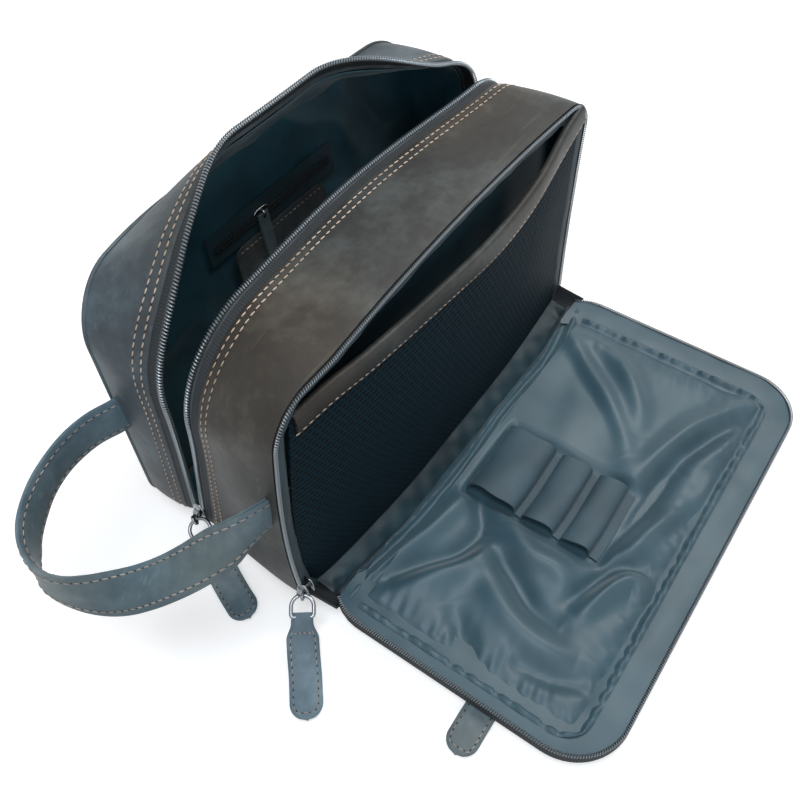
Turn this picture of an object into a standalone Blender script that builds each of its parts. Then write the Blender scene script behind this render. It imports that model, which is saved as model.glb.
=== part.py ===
"""Leather toiletry bag, standing open: the main mouth gapes over the top and the front door lies flat.

Units are metres, +Z is up, +X runs along the bag's length and +Y from the fold-down front door to the back.
The origin is the centre of the base panel's underside. Every moving piece hangs on an empty that sits on its
joint's axis, and all joints are at rest in the pose that is modelled.
"""

import math

import bmesh
import bpy
import numpy as np
from mathutils import Matrix, Vector

MM = 0.001
GAP = 0.3 * MM  # clearance between neighbouring pieces

# The bag's own size
LENGTH = 250 * MM
HEIGHT = 145 * MM
DEPTH = 102 * MM  # front opening's plane to the back seam, at the base
SEAM_RADIUS = 28 * MM  # corners of the front and back outlines
ZIP_RADIUS = 45 * MM  # corners of the main zip's arch
FOOT_RADIUS = 14 * MM  # lower corners of both outlines
FRONT_Y = -DEPTH / 2
TURN = math.radians(90)

# Sheet materials
LEATHER = 1.4 * MM
LINING = 0.5 * MM
TAPE = 0.6 * MM
MESH_FABRIC = 0.8 * MM
STIFFENER = 2.0 * MM
COIL_RADIUS = 1.0 * MM
COIL_PITCH = 3.4 * MM  # between the middles of two closed coils, which leaves the slider's post its room

# Main zip
ZIP_CORNER_DEPTH = 51 * MM  # front coil behind the front plane, round the corners
ZIP_TOP_SWELL = 8 * MM  # how far the top of the arch sits further back
ZIP_SWELL_REACH = 110 * MM
ZIP_FOOT_SLOPE = 0.17  # the coil runs back towards its foot by this share of the drop
ZIP_TAPE_SHOWING = 7 * MM
SEWN_SHARE = 0.14  # share of a band's width that laps over the tape
FRONT_LINING_SHARE = 0.38  # the band's lining starts behind the divider
TAPE_INSET = LEATHER + GAP + TAPE / 2
LINING_INSET = LEATHER + GAP + TAPE + GAP + LINING / 2

# Back half: a forward lean closes it, and its top folds down
MOUTH_DEG = 5.5
TOP_FOLD_DEG = 50
MOUTH_PIVOT_Z = 2 * MM
BACK_BOW = 18 * MM  # the open back bulges this far at its top edge, evenly over its middle
BACK_BOW_CENTRE = 15 * MM
BACK_BOW_LEVEL_HALF = 65 * MM
BACK_BOW_FALL = 65 * MM
TOP_FOLD_DEPTH = DEPTH + 15 * MM
TOP_FOLD_RISE = 1.6 * MM  # fold line above the height of the seam
TOP_FLAP_HALF = LENGTH / 2 - ZIP_RADIUS - 4 * MM
SEAM_GAP = 1.2 * MM  # between the back panel and the band, where the bulge bends

# Front compartment and door
DIVIDER_DEPTH = 14 * MM
DIVIDER_RADIUS = 36 * MM
CLAM_COIL_INSET = 1.2 * MM
CLAM_COIL_Y = FRONT_Y - 0.8 * MM
CLAM_FACING = 14 * MM  # width of the flat facing inside the coil
DOOR_PIVOT_Z = 2.2 * MM
DOOR_RIM_Z = 10.4 * MM  # the door's coil above the table
DOOR_LIFT = 4.0 * MM  # the door's leather above the table, on its own slider and tab
DOOR_LINING = 1.4 * MM
DOOR_PIVOT_Y = CLAM_COIL_Y - COIL_PITCH - (DOOR_RIM_Z - DOOR_PIVOT_Z)
FOLD_RADIUS = 2.0 * MM
DOOR_RADIUS = 28 * MM
DOOR_NEAR_Y = DOOR_PIVOT_Y - FOLD_RADIUS - GAP
DOOR_FAR_Y = DOOR_PIVOT_Y - (HEIGHT - DOOR_PIVOT_Z)
DOOR_HALF = LENGTH / 2

# Mesh pocket
POCKET_HALF = LENGTH / 2 - 15 * MM
POCKET_FOOT = 9 * MM
POCKET_MOUTH = 112 * MM  # height of the mouth at the middle
POCKET_MOUTH_RISE = 16 * MM  # the mouth climbs this far at its two ends
POCKET_BULGE = 8 * MM
BINDING_WIDTH = 11 * MM

# Elastic loops: the arches' spans, heights and the flats between them
LOOP_SPANS = (28 * MM, 19 * MM, 17 * MM)
LOOP_RISES = (11 * MM, 9 * MM, 8.5 * MM)
LOOP_FLAT = 2 * MM
LOOP_BAND = 40 * MM
LOOP_LEFT_X = -30 * MM
LOOP_FIRST_Y = FRONT_Y - 31 * MM
ELASTIC = 0.9 * MM

# Handle: its loop swings on the line between its two sewn ends
STRAP_WIDTH = 21 * MM
STRAP_LAYER = 1.6 * MM
HANDLE_BACK_Z = 73 * MM
HANDLE_FRONT_Z = 87 * MM
HANDLE_END_MARGIN = 6 * MM  # middle of each sewn end inside the front and back planes
HANDLE_STAND_OFF = 12 * MM  # the line it swings on, off the end wall
HANDLE_REACH = 54 * MM
HANDLE_DROOP = 31 * MM
HANDLE_BACK_SWELL = 20 * MM
HANDLE_FULLNESS = 0.8
STRAP_TILT_DEG = 26
STRAP_STEPS = 28

# Sliders, rings and tabs
SLIDER_LENGTH = 11 * MM
SLIDER_WIDTH = 8.4 * MM
SLIDER_PLATE = 1.0 * MM
SLIDER_FLANGE = 1.0 * MM
SLIDER_EASE = 0.2 * MM  # the plates thin towards their edges by this much
CHANNEL = COIL_RADIUS + 0.4 * MM
EYE_WIRE = 0.8 * MM
EYE_STEM = 2.5 * MM
RING_WIRE = 0.9 * MM
RING_WIDTH = 13 * MM
RING_REACH = 11 * MM
TAB_LENGTH = 49 * MM
TAB_WIDTH = 15 * MM
TAB_NECK = 8.4 * MM
TAB_NECK_LENGTH = 7 * MM
TAB_LAYER = 1.2 * MM
MAIN_SLIDER_Z = 22 * MM
MAIN_TAB_HEADING = (-0.36, -0.90, -0.27)
MAIN_TAB_UP = (-0.45, 0, 1)
CLAM_SLIDER_Z = 21 * MM
CLAM_TAB_HEADING = (-0.76, -0.57, -0.27)
CLAM_TAB_UP = (0, 0, 1)

# Door pocket, in the door's outer face: a finer zip, whose slider, ring and tab lie between door and table
DOOR_POCKET_Y = FRONT_Y - 97 * MM
DOOR_SLOT_LEFT = -96 * MM
DOOR_SLOT_RIGHT = 88 * MM
DOOR_CHAIN_LEFT = -84 * MM
DOOR_SLIDER_X = -82 * MM
SLOT_WIDTH = 9 * MM
CHAIN_WIDTH = 4.4 * MM
CHAIN_THICKNESS = 1.2 * MM
FINE_RING_WIRE = 0.6 * MM
FINE_EYE_WIRE = 0.5 * MM
FINE_TAB_LAYER = 0.8 * MM
FINE_TAB_Z = 2.1 * MM

# Zip pocket on the inside of the back wall, and the leather patch below it
INNER_ZIP_Z = 110 * MM
INNER_ZIP_HALF = 48 * MM
INNER_TAPE_HALF_HEIGHT = 8 * MM
INNER_TAPE_MARGIN = 3 * MM
INNER_SLIDER_X = -10 * MM
PATCH_MIDDLE_X = 2 * MM
PATCH_HALF = 35 * MM
PATCH_TOP = 101 * MM
PATCH_FOOT = 70 * MM
PULLER_LENGTH = 27 * MM
PULLER_WIDTH = 7 * MM
PULLER_THICKNESS = 1.2 * MM
PULLER_BAR = 0.6 * MM  # half of the bar above the puller's hole
PULLER_HOLE = 3.6 * MM
PULLER_HOLE_HALF = 1.5 * MM

POST_WIDTH = COIL_PITCH - 2 * COIL_RADIUS - 2 * GAP

# Points along round outlines
EYE_STEPS = 14
RING_STEPS = 8
TIP_STEPS = 6
SLEEVE_STEPS = 9
SLEEVE_DEG = 342
ARC_STEPS = 5
TOP_STEPS = 6
BACK_COLUMNS = 10
FOOT_STEPS = 2
WELD = 0.01 * MM


def material(name, colour, roughness, metallic=0.0):
    """A Principled material with one colour, roughness and metallic value."""
    made = bpy.data.materials.new(name)
    made.use_nodes = True
    shader = made.node_tree.nodes["Principled BSDF"]
    shader.inputs["Base Color"].default_value = (*colour, 1)
    shader.inputs["Roughness"].default_value = roughness
    shader.inputs["Metallic"].default_value = metallic
    made.diffuse_color = (*colour, 1)
    return made


def mesh_object(name, points, faces, finish):
    """One object from points and faces, in the parts collection."""
    mesh = bpy.data.meshes.new(name)
    mesh.from_pydata([tuple(p) for p in points], [], faces)
    mesh.materials.append(finish)
    made = bpy.data.objects.new(name, mesh)
    parts.objects.link(made)
    mesh.shade_smooth()
    mesh.set_sharp_from_angle(angle=math.radians(40))
    return made


def sheet(name, rows, thickness, finish):
    """An open surface through rows of points, thickened to both sides."""
    width = len(rows[0])
    points = [p for row in rows for p in row]
    faces = [
        (r * width + c, r * width + c + 1, (r + 1) * width + c + 1, (r + 1) * width + c)
        for r in range(len(rows) - 1)
        for c in range(width - 1)
    ]
    made = mesh_object(name, points, faces, finish)
    wall = made.modifiers.new("thickness", "SOLIDIFY")
    wall.thickness = thickness
    wall.offset = 0
    wall.use_even_offset = True
    return made


def tube(name, points, radius, finish, closed=False, sides=1):
    """A round rod along points, with flat ends."""
    curve = bpy.data.curves.new(name, "CURVE")
    curve.dimensions = "3D"
    curve.bevel_depth = radius
    curve.bevel_resolution = sides
    curve.use_fill_caps = not closed
    spline = curve.splines.new("POLY")
    spline.points.add(len(points) - 1)
    for knot, p in zip(spline.points, points):
        knot.co = (*p, 1)
    spline.use_cyclic_u = closed
    return to_mesh(curve, name, finish)


def slab(name, outlines, thickness, finish, place=None):
    """A flat outline, with any holes, thickened evenly about its own plane and then placed."""
    curve = bpy.data.curves.new(name, "CURVE")
    curve.dimensions = "2D"
    curve.fill_mode = "BOTH"
    curve.extrude = thickness / 2
    for outline in outlines:
        spline = curve.splines.new("POLY")
        spline.points.add(len(outline) - 1)
        for knot, p in zip(spline.points, outline):
            knot.co = (p[0], p[1], 0, 1)
        spline.use_cyclic_u = True
    made = to_mesh(curve, name, finish)
    made.data.transform(place or Matrix.Identity(4))
    return made


def to_mesh(curve, name, finish):
    """The curve as a mesh object, with its caps welded on."""
    guide = bpy.data.objects.new(name + "_guide", curve)
    parts.objects.link(guide)
    evaluated = guide.evaluated_get(bpy.context.evaluated_depsgraph_get())
    mesh = bpy.data.meshes.new_from_object(evaluated)
    mesh.name = name
    bpy.data.objects.remove(guide)
    work = bmesh.new()
    work.from_mesh(mesh)
    bmesh.ops.remove_doubles(work, verts=work.verts, dist=WELD)
    work.to_mesh(mesh)
    work.free()
    mesh.materials.clear()
    mesh.materials.append(finish)
    mesh.shade_smooth()
    mesh.set_sharp_from_angle(angle=math.radians(40))
    made = bpy.data.objects.new(name, mesh)
    parts.objects.link(made)
    return made


def join(body, *others):
    """Fuses the others into body as one solid."""
    for other in others:
        parts.objects.unlink(other)
        cutters.objects.link(other)
        other.hide_render = True
        other.display_type = "WIRE"
        union = body.modifiers.new("join " + other.name, "BOOLEAN")
        union.operation = "UNION"
        union.solver = "EXACT"
        union.object = other
    return body


def placed(origin, along, across):
    """A matrix whose X is along, whose Z is square to along and across, and whose Y completes them."""
    x = Vector(along).normalized()
    z = x.cross(Vector(across)).normalized()
    y = z.cross(x)
    turned = Matrix((x, y, z)).transposed().to_4x4()
    return Matrix.Translation(Vector(origin)) @ turned


def arc(centre, radius, start_deg, end_deg, steps):
    """Points on a circle about centre, ends included."""
    turns = [math.radians(start_deg + (end_deg - start_deg) * i / steps) for i in range(steps + 1)]
    return [(centre[0] + radius * math.cos(t), centre[1] + radius * math.sin(t)) for t in turns]


def rounded_box(half_width, half_height, radius):
    """A closed outline about the origin with round corners."""
    corners = [(1, 1, 0), (-1, 1, 90), (-1, -1, 180), (1, -1, 270)]
    points = []
    for sx, sy, start in corners:
        centre = (sx * (half_width - radius), sy * (half_height - radius))
        points += arc(centre, radius, start, start + 90, 3)
    return points


def arch(inset, radius, foot_deg=62):
    """The bag's outline seen from the front, as (x, z): up the left end, over the top and down the right end."""
    foot = (-(LENGTH / 2 - FOOT_RADIUS), FOOT_RADIUS)
    corner = (-(LENGTH / 2 - radius), HEIGHT - radius)
    left = arc(foot, FOOT_RADIUS - inset, 180 + foot_deg, 180, FOOT_STEPS)
    left += arc(corner, radius - inset, 180, 90, ARC_STEPS)
    reach = -corner[0]
    top = [(-reach + 2 * reach * i / TOP_STEPS, HEIGHT - inset) for i in range(1, TOP_STEPS)]
    return left + top + [(-x, z) for x, z in reversed(left)]


def bump(x, reach):
    """1 at the middle, falling to 0 at reach to either side."""
    return max(0.0, 1 - (x / reach) ** 2)


def zip_depth(x, z):
    """How far behind the front plane the front half's main coil runs, at a point of the arch."""
    drop = max(0.0, HEIGHT - ZIP_RADIUS - z)
    return ZIP_CORNER_DEPTH + ZIP_FOOT_SLOPE * drop + ZIP_TOP_SWELL * bump(x, ZIP_SWELL_REACH)


def turned(point, pivot_y, pivot_z, degrees):
    """The point turned about a line along X; a positive angle carries +Y towards +Z."""
    c, s = math.cos(math.radians(degrees)), math.sin(math.radians(degrees))
    y, z = point[1] - pivot_y, point[2] - pivot_z
    return (point[0], pivot_y + y * c - z * s, pivot_z + y * s + z * c)


def opened(point):
    """Where a point of the closed back half lies when the mouth stands open."""
    return turned(point, FRONT_Y + DEPTH, MOUTH_PIVOT_Z, -MOUTH_DEG)


def folded(point):
    """Where a point of the closed top flap lies when the mouth stands open."""
    return turned(opened(point), FRONT_Y + TOP_FOLD_DEPTH, HEIGHT + TOP_FOLD_RISE, -TOP_FOLD_DEG)


def back_y(x, z):
    """Where the open back panel's leather meets its lining: a level middle that falls off towards the ends."""
    beyond = max(0.0, abs(x - BACK_BOW_CENTRE) - BACK_BOW_LEVEL_HALF)
    return FRONT_Y + DEPTH + BACK_BOW * bump(beyond, BACK_BOW_FALL) * z / HEIGHT


def between(first, last, count):
    """Rows of points that run straight from the first row to the last."""
    first, last = np.array(first), np.array(last)
    return [first + (last - first) * i / count for i in range(count + 1)]


def flat_rows(half, bottom, top, radius, foot_radius, y_of, columns):
    """Rows of a panel with round corners: each row spans the outline's width at its height."""
    low = arc((-(half - foot_radius), bottom + foot_radius), foot_radius, 270, 180, FOOT_STEPS)
    high = arc((-(half - radius), top - radius), radius, 180, 90, ARC_STEPS)
    middle = [(-half, bottom + foot_radius + (top - radius - bottom - foot_radius) / 2)]
    rows = []
    for x_edge, z in low + middle + high:
        xs = [x_edge - 2 * x_edge * c / columns for c in range(columns + 1)]
        rows.append([(x, y_of(x, z), z) for x in xs])
    return rows


def front_rows(inset, start, end, steps):
    """Rows of the front band, at an inset from its outer face, from the rim (share 0) to the zip edge."""
    rim = [(x, FRONT_Y + LEATHER, z) for x, z in arch(inset, SEAM_RADIUS)]
    edge = [(x, FRONT_Y + zip_depth(x, z) - ZIP_TAPE_SHOWING, z) for x, z in arch(inset, ZIP_RADIUS)]
    rim, edge = np.array(rim), np.array(edge)
    return between(rim + (edge - rim) * start, rim + (edge - rim) * end, steps)


def build_front_half():
    """Everything that stands still: base, leather band, linings, divider, mesh pocket and two half zips."""
    base_front = DOOR_PIVOT_Y + FOLD_RADIUS + GAP
    base_back = FRONT_Y + DEPTH - LEATHER
    base_half = LENGTH / 2 - FOOT_RADIUS / 2
    middle = (base_front + base_back) / 2
    outline = rounded_box(base_half, (base_back - base_front) / 2, FOOT_RADIUS / 2)
    lift = Matrix.Translation((0, middle, LEATHER / 2))
    slab("base_panel", [outline], LEATHER, LEATHER_DARK, lift)
    board_front = FRONT_Y + DIVIDER_DEPTH + STIFFENER + GAP
    board_half = (base_back - board_front) / 2 - LEATHER
    board = rounded_box(base_half - FOOT_RADIUS / 2, board_half, FOOT_RADIUS / 2)
    lift = Matrix.Translation((0, (base_back + board_front) / 2, LEATHER + GAP + STIFFENER / 2))
    slab("base_stiffener", [board], STIFFENER, FABRIC_BLACK, lift)

    sheet("front_band", front_rows(LEATHER / 2, 0, 1, 2), LEATHER, LEATHER_BROWN)
    sheet("front_band_lining", front_rows(LINING_INSET, FRONT_LINING_SHARE, 1, 1), LINING, FABRIC_BLACK)
    rows = front_rows(TAPE_INSET, 1 - SEWN_SHARE, 1, 1)
    tape_edge = COIL_RADIUS + GAP
    free = [(x, FRONT_Y + zip_depth(x, z) - tape_edge, z) for x, z in arch(TAPE_INSET, ZIP_RADIUS)]
    sheet("main_zip_tape_front", [*rows, free], TAPE, FABRIC_BLACK)
    coil_line = [
        (x, FRONT_Y + zip_depth(x, z), z) for x, z in arch(TAPE_INSET, ZIP_RADIUS) if z > FOOT_RADIUS
    ]
    tube("main_zip_coil_front", coil_line, COIL_RADIUS, COIL_METAL)

    edge_inset = LEATHER + 3 * GAP
    divider_rows = flat_rows(
        LENGTH / 2 - edge_inset,
        LEATHER + GAP,
        HEIGHT - edge_inset,
        DIVIDER_RADIUS,
        FOOT_RADIUS,
        lambda x, z: FRONT_Y + DIVIDER_DEPTH + STIFFENER / 2,
        2,
    )
    sheet("divider_panel", divider_rows, STIFFENER, FABRIC_BLACK)

    facing_start = CLAM_COIL_INSET + COIL_RADIUS + GAP
    outer = [(x, CLAM_COIL_Y, z) for x, z in arch(facing_start, SEAM_RADIUS)]
    inner = [(x, CLAM_COIL_Y, max(z, FOOT_RADIUS)) for x, z in arch(CLAM_FACING - GAP, SEAM_RADIUS, 0)]
    sheet("clamshell_zip_tape_body", [outer, inner], TAPE, FABRIC_BLACK)
    clam_line = [(x, CLAM_COIL_Y, z) for x, z in arch(CLAM_COIL_INSET, SEAM_RADIUS) if z > FOOT_RADIUS / 2]
    tube("clamshell_zip_coil_body", clam_line, COIL_RADIUS, COIL_METAL)
    mouth = [(x, CLAM_COIL_Y + TAPE + LINING, z) for x, z in arch(CLAM_FACING / 2, SEAM_RADIUS)]
    root = [(x, FRONT_Y + DIVIDER_DEPTH - GAP, z) for x, z in arch(CLAM_FACING / 2, SEAM_RADIUS)]
    sheet("front_compartment_lining", [mouth, root], LINING, FABRIC_SLATE)

    fold_line = [(x, DOOR_PIVOT_Y, DOOR_PIVOT_Z) for x in (-base_half, base_half)]
    tube("hinge_fold", fold_line, FOLD_RADIUS, LEATHER_DARK, sides=2)


def pocket_mouth_z(x):
    """Height of the mesh pocket's mouth, lowest at the middle."""
    return POCKET_MOUTH + POCKET_MOUTH_RISE * (x / POCKET_HALF) ** 2


def pocket_y(x, z):
    """The mesh pocket's middle surface: sewn to the divider round its edges, bulging between them."""
    sewn = FRONT_Y + DIVIDER_DEPTH - GAP - MESH_FABRIC / 2
    rise = min(1.0, (z - POCKET_FOOT) / (pocket_mouth_z(0) - POCKET_FOOT))
    return sewn - POCKET_BULGE * bump(x, POCKET_HALF) ** 0.7 * math.sin(TURN * rise) ** 0.8


def build_mesh_pocket():
    """The bulging mesh pocket on the divider, and the leather binding along its mouth."""
    columns, levels = 12, 5
    xs = [POCKET_HALF * (2 * c / columns - 1) for c in range(columns + 1)]
    rows = []
    for level in range(levels + 1):
        heights = [POCKET_FOOT + (pocket_mouth_z(x) - POCKET_FOOT) * level / levels for x in xs]
        rows.append([(x, pocket_y(x, z), z) for x, z in zip(xs, heights)])
    sheet("mesh_pocket", rows, MESH_FABRIC, MESH_BLACK)
    lap = (MESH_FABRIC + LEATHER) / 2 + GAP
    trim = []
    for drop in (BINDING_WIDTH, 0):
        heights = [pocket_mouth_z(x) - drop for x in xs]
        trim.append([(x, pocket_y(x, z) - lap, z) for x, z in zip(xs, heights)])
    sheet("mesh_pocket_binding", trim, LEATHER, LEATHER_BROWN)


def build_back_half():
    """Back panel, the two end parts of its leather band, their half zips and linings."""
    made = []
    outer = flat_rows(
        LENGTH / 2,
        LEATHER + GAP,
        HEIGHT,
        SEAM_RADIUS,
        FOOT_RADIUS,
        lambda x, z: back_y(x, z) + LEATHER / 2,
        BACK_COLUMNS,
    )
    made.append(sheet("back_panel", outer, LEATHER, LEATHER_DARK))
    inset = LINING_INSET + LINING
    inner = flat_rows(
        LENGTH / 2 - inset,
        LEATHER + STIFFENER + GAP + GAP,
        HEIGHT - inset,
        SEAM_RADIUS - inset,
        FOOT_RADIUS - inset,
        lambda x, z: back_y(x, z) - SEAM_GAP - LINING / 2,
        BACK_COLUMNS,
    )
    made.append(sheet("back_lining", inner, LINING, FABRIC_BLACK))
    for side, name in ((-1, "left"), (1, "right")):
        made += build_back_end(side, name)
    return made


def end_part(points, side):
    """The stretch of an arch from the foot to the top flap's end, on one side of the bag."""
    limit = TOP_FLAP_HALF + GAP
    half = [p for p in points if p[0] * side > limit]
    top_z = max(p[1] for p in half)
    half = half + [(side * limit, top_z)] if side < 0 else [(side * limit, top_z)] + half
    return half


def back_end_rows(side, inset, start_gap, start, end, steps):
    """Rows of one end of the back band, from the back seam (share 0) to the zip edge."""
    seam = [(x, back_y(x, z) - start_gap, z) for x, z in end_part(arch(inset, SEAM_RADIUS), side)]
    edge_depth = COIL_PITCH + ZIP_TAPE_SHOWING
    edge = [
        opened((x, FRONT_Y + zip_depth(x, z) + edge_depth, z))
        for x, z in end_part(arch(inset, ZIP_RADIUS), side)
    ]
    seam, edge = np.array(seam), np.array(edge)
    return between(seam + (edge - seam) * start, seam + (edge - seam) * end, steps)


def build_back_end(side, name):
    """One end of the back half's band, with its lining, tape and coil."""
    rows = back_end_rows(side, LEATHER / 2, SEAM_GAP, 0, 1, 2)
    band = sheet("back_band_" + name, rows, LEATHER, LEATHER_BROWN)
    rows = back_end_rows(side, LINING_INSET, SEAM_GAP + LINING + GAP, 0, 1, 1)
    lining = sheet("back_lining_" + name, rows, LINING, FABRIC_BLACK)
    tape_line = end_part(arch(TAPE_INSET, ZIP_RADIUS), side)
    offset = COIL_PITCH + COIL_RADIUS + GAP
    free = [opened((x, FRONT_Y + zip_depth(x, z) + offset, z)) for x, z in tape_line]
    rows = back_end_rows(side, TAPE_INSET, SEAM_GAP, 1 - SEWN_SHARE, 1, 1)
    tape = sheet("main_zip_tape_" + name, [*rows, free], TAPE, FABRIC_BLACK)
    coil_line = [
        opened((x, FRONT_Y + zip_depth(x, z) + COIL_PITCH, z)) for x, z in tape_line if z > FOOT_RADIUS
    ]
    coil = tube("main_zip_coil_" + name, coil_line, COIL_RADIUS, COIL_METAL)
    return [band, lining, tape, coil]


def top_row(inset, depth_of):
    """A row along the top flap, at a depth given for the closed bag."""
    xs = [TOP_FLAP_HALF * (2 * c / TOP_STEPS - 1) for c in range(TOP_STEPS + 1)]
    return np.array([folded((x, FRONT_Y + depth_of(x), HEIGHT - inset)) for x in xs])


def build_back_top():
    """The top of the back half, folded up from the back seam: leather, lining, tape and coil."""

    def root(x):
        return DEPTH - SEAM_GAP

    def edge(x):
        return zip_depth(x, HEIGHT) + COIL_PITCH + ZIP_TAPE_SHOWING

    def free(x):
        return zip_depth(x, HEIGHT) + COIL_PITCH + COIL_RADIUS + GAP

    def coil_depth(x):
        return zip_depth(x, HEIGHT) + COIL_PITCH

    rows = between(top_row(LEATHER / 2, root), top_row(LEATHER / 2, edge), 2)
    band = sheet("back_top_band", rows, LEATHER, LEATHER_BROWN)
    rows = [top_row(LINING_INSET, root), top_row(LINING_INSET, edge)]
    lining = sheet("back_top_lining", rows, LINING, FABRIC_BLACK)
    hidden, shown = top_row(TAPE_INSET, root), top_row(TAPE_INSET, edge)
    sewn = shown + (hidden - shown) * SEWN_SHARE
    tape = sheet("back_top_tape", [sewn, top_row(TAPE_INSET, free)], TAPE, FABRIC_BLACK)
    coil = tube("back_top_coil", top_row(TAPE_INSET, coil_depth), COIL_RADIUS, COIL_METAL)
    return [band, lining, tape, coil]


def door_path(inset):
    """The door's outline as (x, y), from its left end at the hinge round the far edge to its right end."""
    half, far = DOOR_HALF - inset, DOOR_FAR_Y + inset
    radius = DOOR_RADIUS - inset
    left = [(-half, DOOR_NEAR_Y)]
    left += arc((-(half - radius), far + radius), radius, 180, 270, ARC_STEPS)
    return left + [(-x, y) for x, y in reversed(left)]


def oblong(left, right, half_width, middle=0.0):
    """A closed outline with square corners, half_width to each side of its middle line."""
    low, high = middle - half_width, middle + half_width
    return [(left, low), (right, low), (right, high), (left, high)]


def build_door():
    """The fold-down front: leather with its pocket zip, rim, facing, coil, lining and elastic loops."""
    leather_z = DOOR_LIFT + LEATHER / 2
    slot = oblong(DOOR_SLOT_LEFT, DOOR_SLOT_RIGHT, SLOT_WIDTH / 2, DOOR_POCKET_Y)
    panel = slab(
        "door_panel", [door_path(0), slot], LEATHER, LEATHER_BROWN, Matrix.Translation((0, 0, leather_z))
    )
    top_of_leather = DOOR_LIFT + LEATHER + GAP
    coil_inset = CLAM_COIL_INSET
    rim_rows = [
        [(x, y, z) for x, y in door_path(coil_inset)]
        for z in (top_of_leather, DOOR_RIM_Z - COIL_RADIUS - GAP)
    ]
    rim = sheet("door_rim_band", rim_rows, LEATHER, FABRIC_BLACK)
    facing_rows = [
        [(x, y, DOOR_RIM_Z) for x, y in door_path(inset)]
        for inset in (coil_inset + COIL_RADIUS + GAP, CLAM_FACING)
    ]
    facing = sheet("clamshell_zip_tape_door", facing_rows, TAPE, FABRIC_BLACK)
    coil_line = [(x, y, DOOR_RIM_Z) for x, y in door_path(coil_inset)]
    coil = tube("clamshell_zip_coil_door", coil_line, COIL_RADIUS, COIL_METAL)

    tape_z = top_of_leather + TAPE / 2
    pocket_tape = slab(
        "door_pocket_tape",
        [oblong(DOOR_SLOT_LEFT - SLOT_WIDTH / 2, DOOR_SLOT_RIGHT + SLOT_WIDTH / 2, SLOT_WIDTH, DOOR_POCKET_Y)],
        TAPE,
        FABRIC_BLACK,
        Matrix.Translation((0, 0, tape_z)),
    )
    chain_z = top_of_leather - GAP - CHAIN_THICKNESS / 2
    chain = slab(
        "door_pocket_chain",
        [oblong(DOOR_CHAIN_LEFT, DOOR_SLOT_RIGHT - GAP, CHAIN_WIDTH / 2, DOOR_POCKET_Y)],
        CHAIN_THICKNESS,
        COIL_METAL,
        Matrix.Translation((0, 0, chain_z)),
    )
    lining_low = top_of_leather + TAPE + GAP
    lining = slab(
        "door_lining",
        [door_path(coil_inset + LEATHER)],
        DOOR_LINING,
        FABRIC_SLATE,
        Matrix.Translation((0, 0, lining_low + DOOR_LINING / 2)),
    )
    loops = build_loops(lining_low + DOOR_LINING + GAP + ELASTIC / 2)
    return [panel, rim, facing, coil, pocket_tape, chain, lining, loops]


def build_loops(seat_z):
    """One elastic band that rises in three arches off the door's lining, with flats between them."""
    profile = [(LOOP_FIRST_Y + LOOP_FLAT, seat_z), (LOOP_FIRST_Y, seat_z)]
    y = LOOP_FIRST_Y
    for span, rise in zip(LOOP_SPANS, LOOP_RISES):
        steps = 8
        for i in range(1, steps + 1):
            turn = math.pi * i / steps
            across = span * (1 - math.cos(turn)) / 2
            profile.append((y - across, seat_z + rise * math.sin(turn)))
        y -= span + LOOP_FLAT
        profile.append((y, seat_z))
    rows = [[(x, py, pz) for py, pz in profile] for x in (LOOP_LEFT_X, LOOP_LEFT_X + LOOP_BAND)]
    return sheet("elastic_loops", rows, ELASTIC, ELASTIC_BLACK)


def handle_hinge():
    """The front and back ends of the line that the handle's loop swings on."""
    x = -LENGTH / 2 - HANDLE_STAND_OFF
    front = Vector((x, FRONT_Y + HANDLE_END_MARGIN, HANDLE_FRONT_Z))
    back = Vector((x, FRONT_Y + DEPTH - HANDLE_END_MARGIN, HANDLE_BACK_Z))
    return front, back


def strap_frames():
    """Middle points and width directions of the loop, from its back end round to its front end.

    Seen from above it is half an ellipse off the hinge line, fuller towards the back. It droops with the
    distance from that line, and its upper edge leans towards the bag."""
    front, back = handle_hinge()
    frames = []
    for i in range(STRAP_STEPS + 1):
        turn = math.pi * i / STRAP_STEPS
        out = math.sin(turn) ** HANDLE_FULLNESS
        middle = (front + back) / 2 + (back - front) / 2 * math.cos(turn)
        middle.y += HANDLE_BACK_SWELL * math.sin(turn) ** 2 * math.cos(turn / 2)
        middle.x -= HANDLE_REACH * out
        middle.z -= HANDLE_DROOP * out
        lean = math.radians(STRAP_TILT_DEG) * out
        frames.append((middle, Vector((math.sin(lean), 0, math.cos(lean)))))
    return frames


def build_handle():
    """The loop's two strap layers, and the stubs of strap between the hinge line and the seams.

    A stub has the strap's lower half only, which leaves the loop's upper corners room to swing in."""
    frames = strap_frames()
    middles = [middle for middle, _ in frames]
    layers = []
    for name, offset in (("handle_inner_strap", -1), ("handle_outer_strap", 1)):
        rows = ([], [])
        for i, (middle, width) in enumerate(frames):
            ahead = middles[min(i + 1, STRAP_STEPS)] - middles[max(i - 1, 0)]
            side = width.cross(ahead).normalized() * offset * (STRAP_LAYER + GAP) / 2
            for row, up in zip(rows, (-1, 1)):
                row.append(middle + side + width * up * STRAP_WIDTH / 2)
        layers.append(sheet(name, rows, STRAP_LAYER, LEATHER_DARK))
    stubs = []
    for name, end in zip(("handle_stub_front", "handle_stub_back"), handle_hinge()):
        root_x = -LENGTH / 2 - GAP
        rows = [[(x, end.y, end.z - drop) for x in (root_x, end.x + GAP)] for drop in (STRAP_WIDTH / 2, GAP)]
        stubs.append(sheet(name, rows, 2 * STRAP_LAYER + GAP, LEATHER_DARK))
    return layers, stubs


def standing(place):
    """Turns a cross-section drawn in X and Y, and thickened along Z, to run along place's X axis."""
    return place @ Matrix(((0, 0, 1, 0), (1, 0, 0, 0), (0, 1, 0, 0), (0, 0, 0, 1)))


def mirrored(right):
    """A closed outline from its right half, listed from the top down."""
    return right + [(-x, y) for x, y in reversed(right)]


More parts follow.
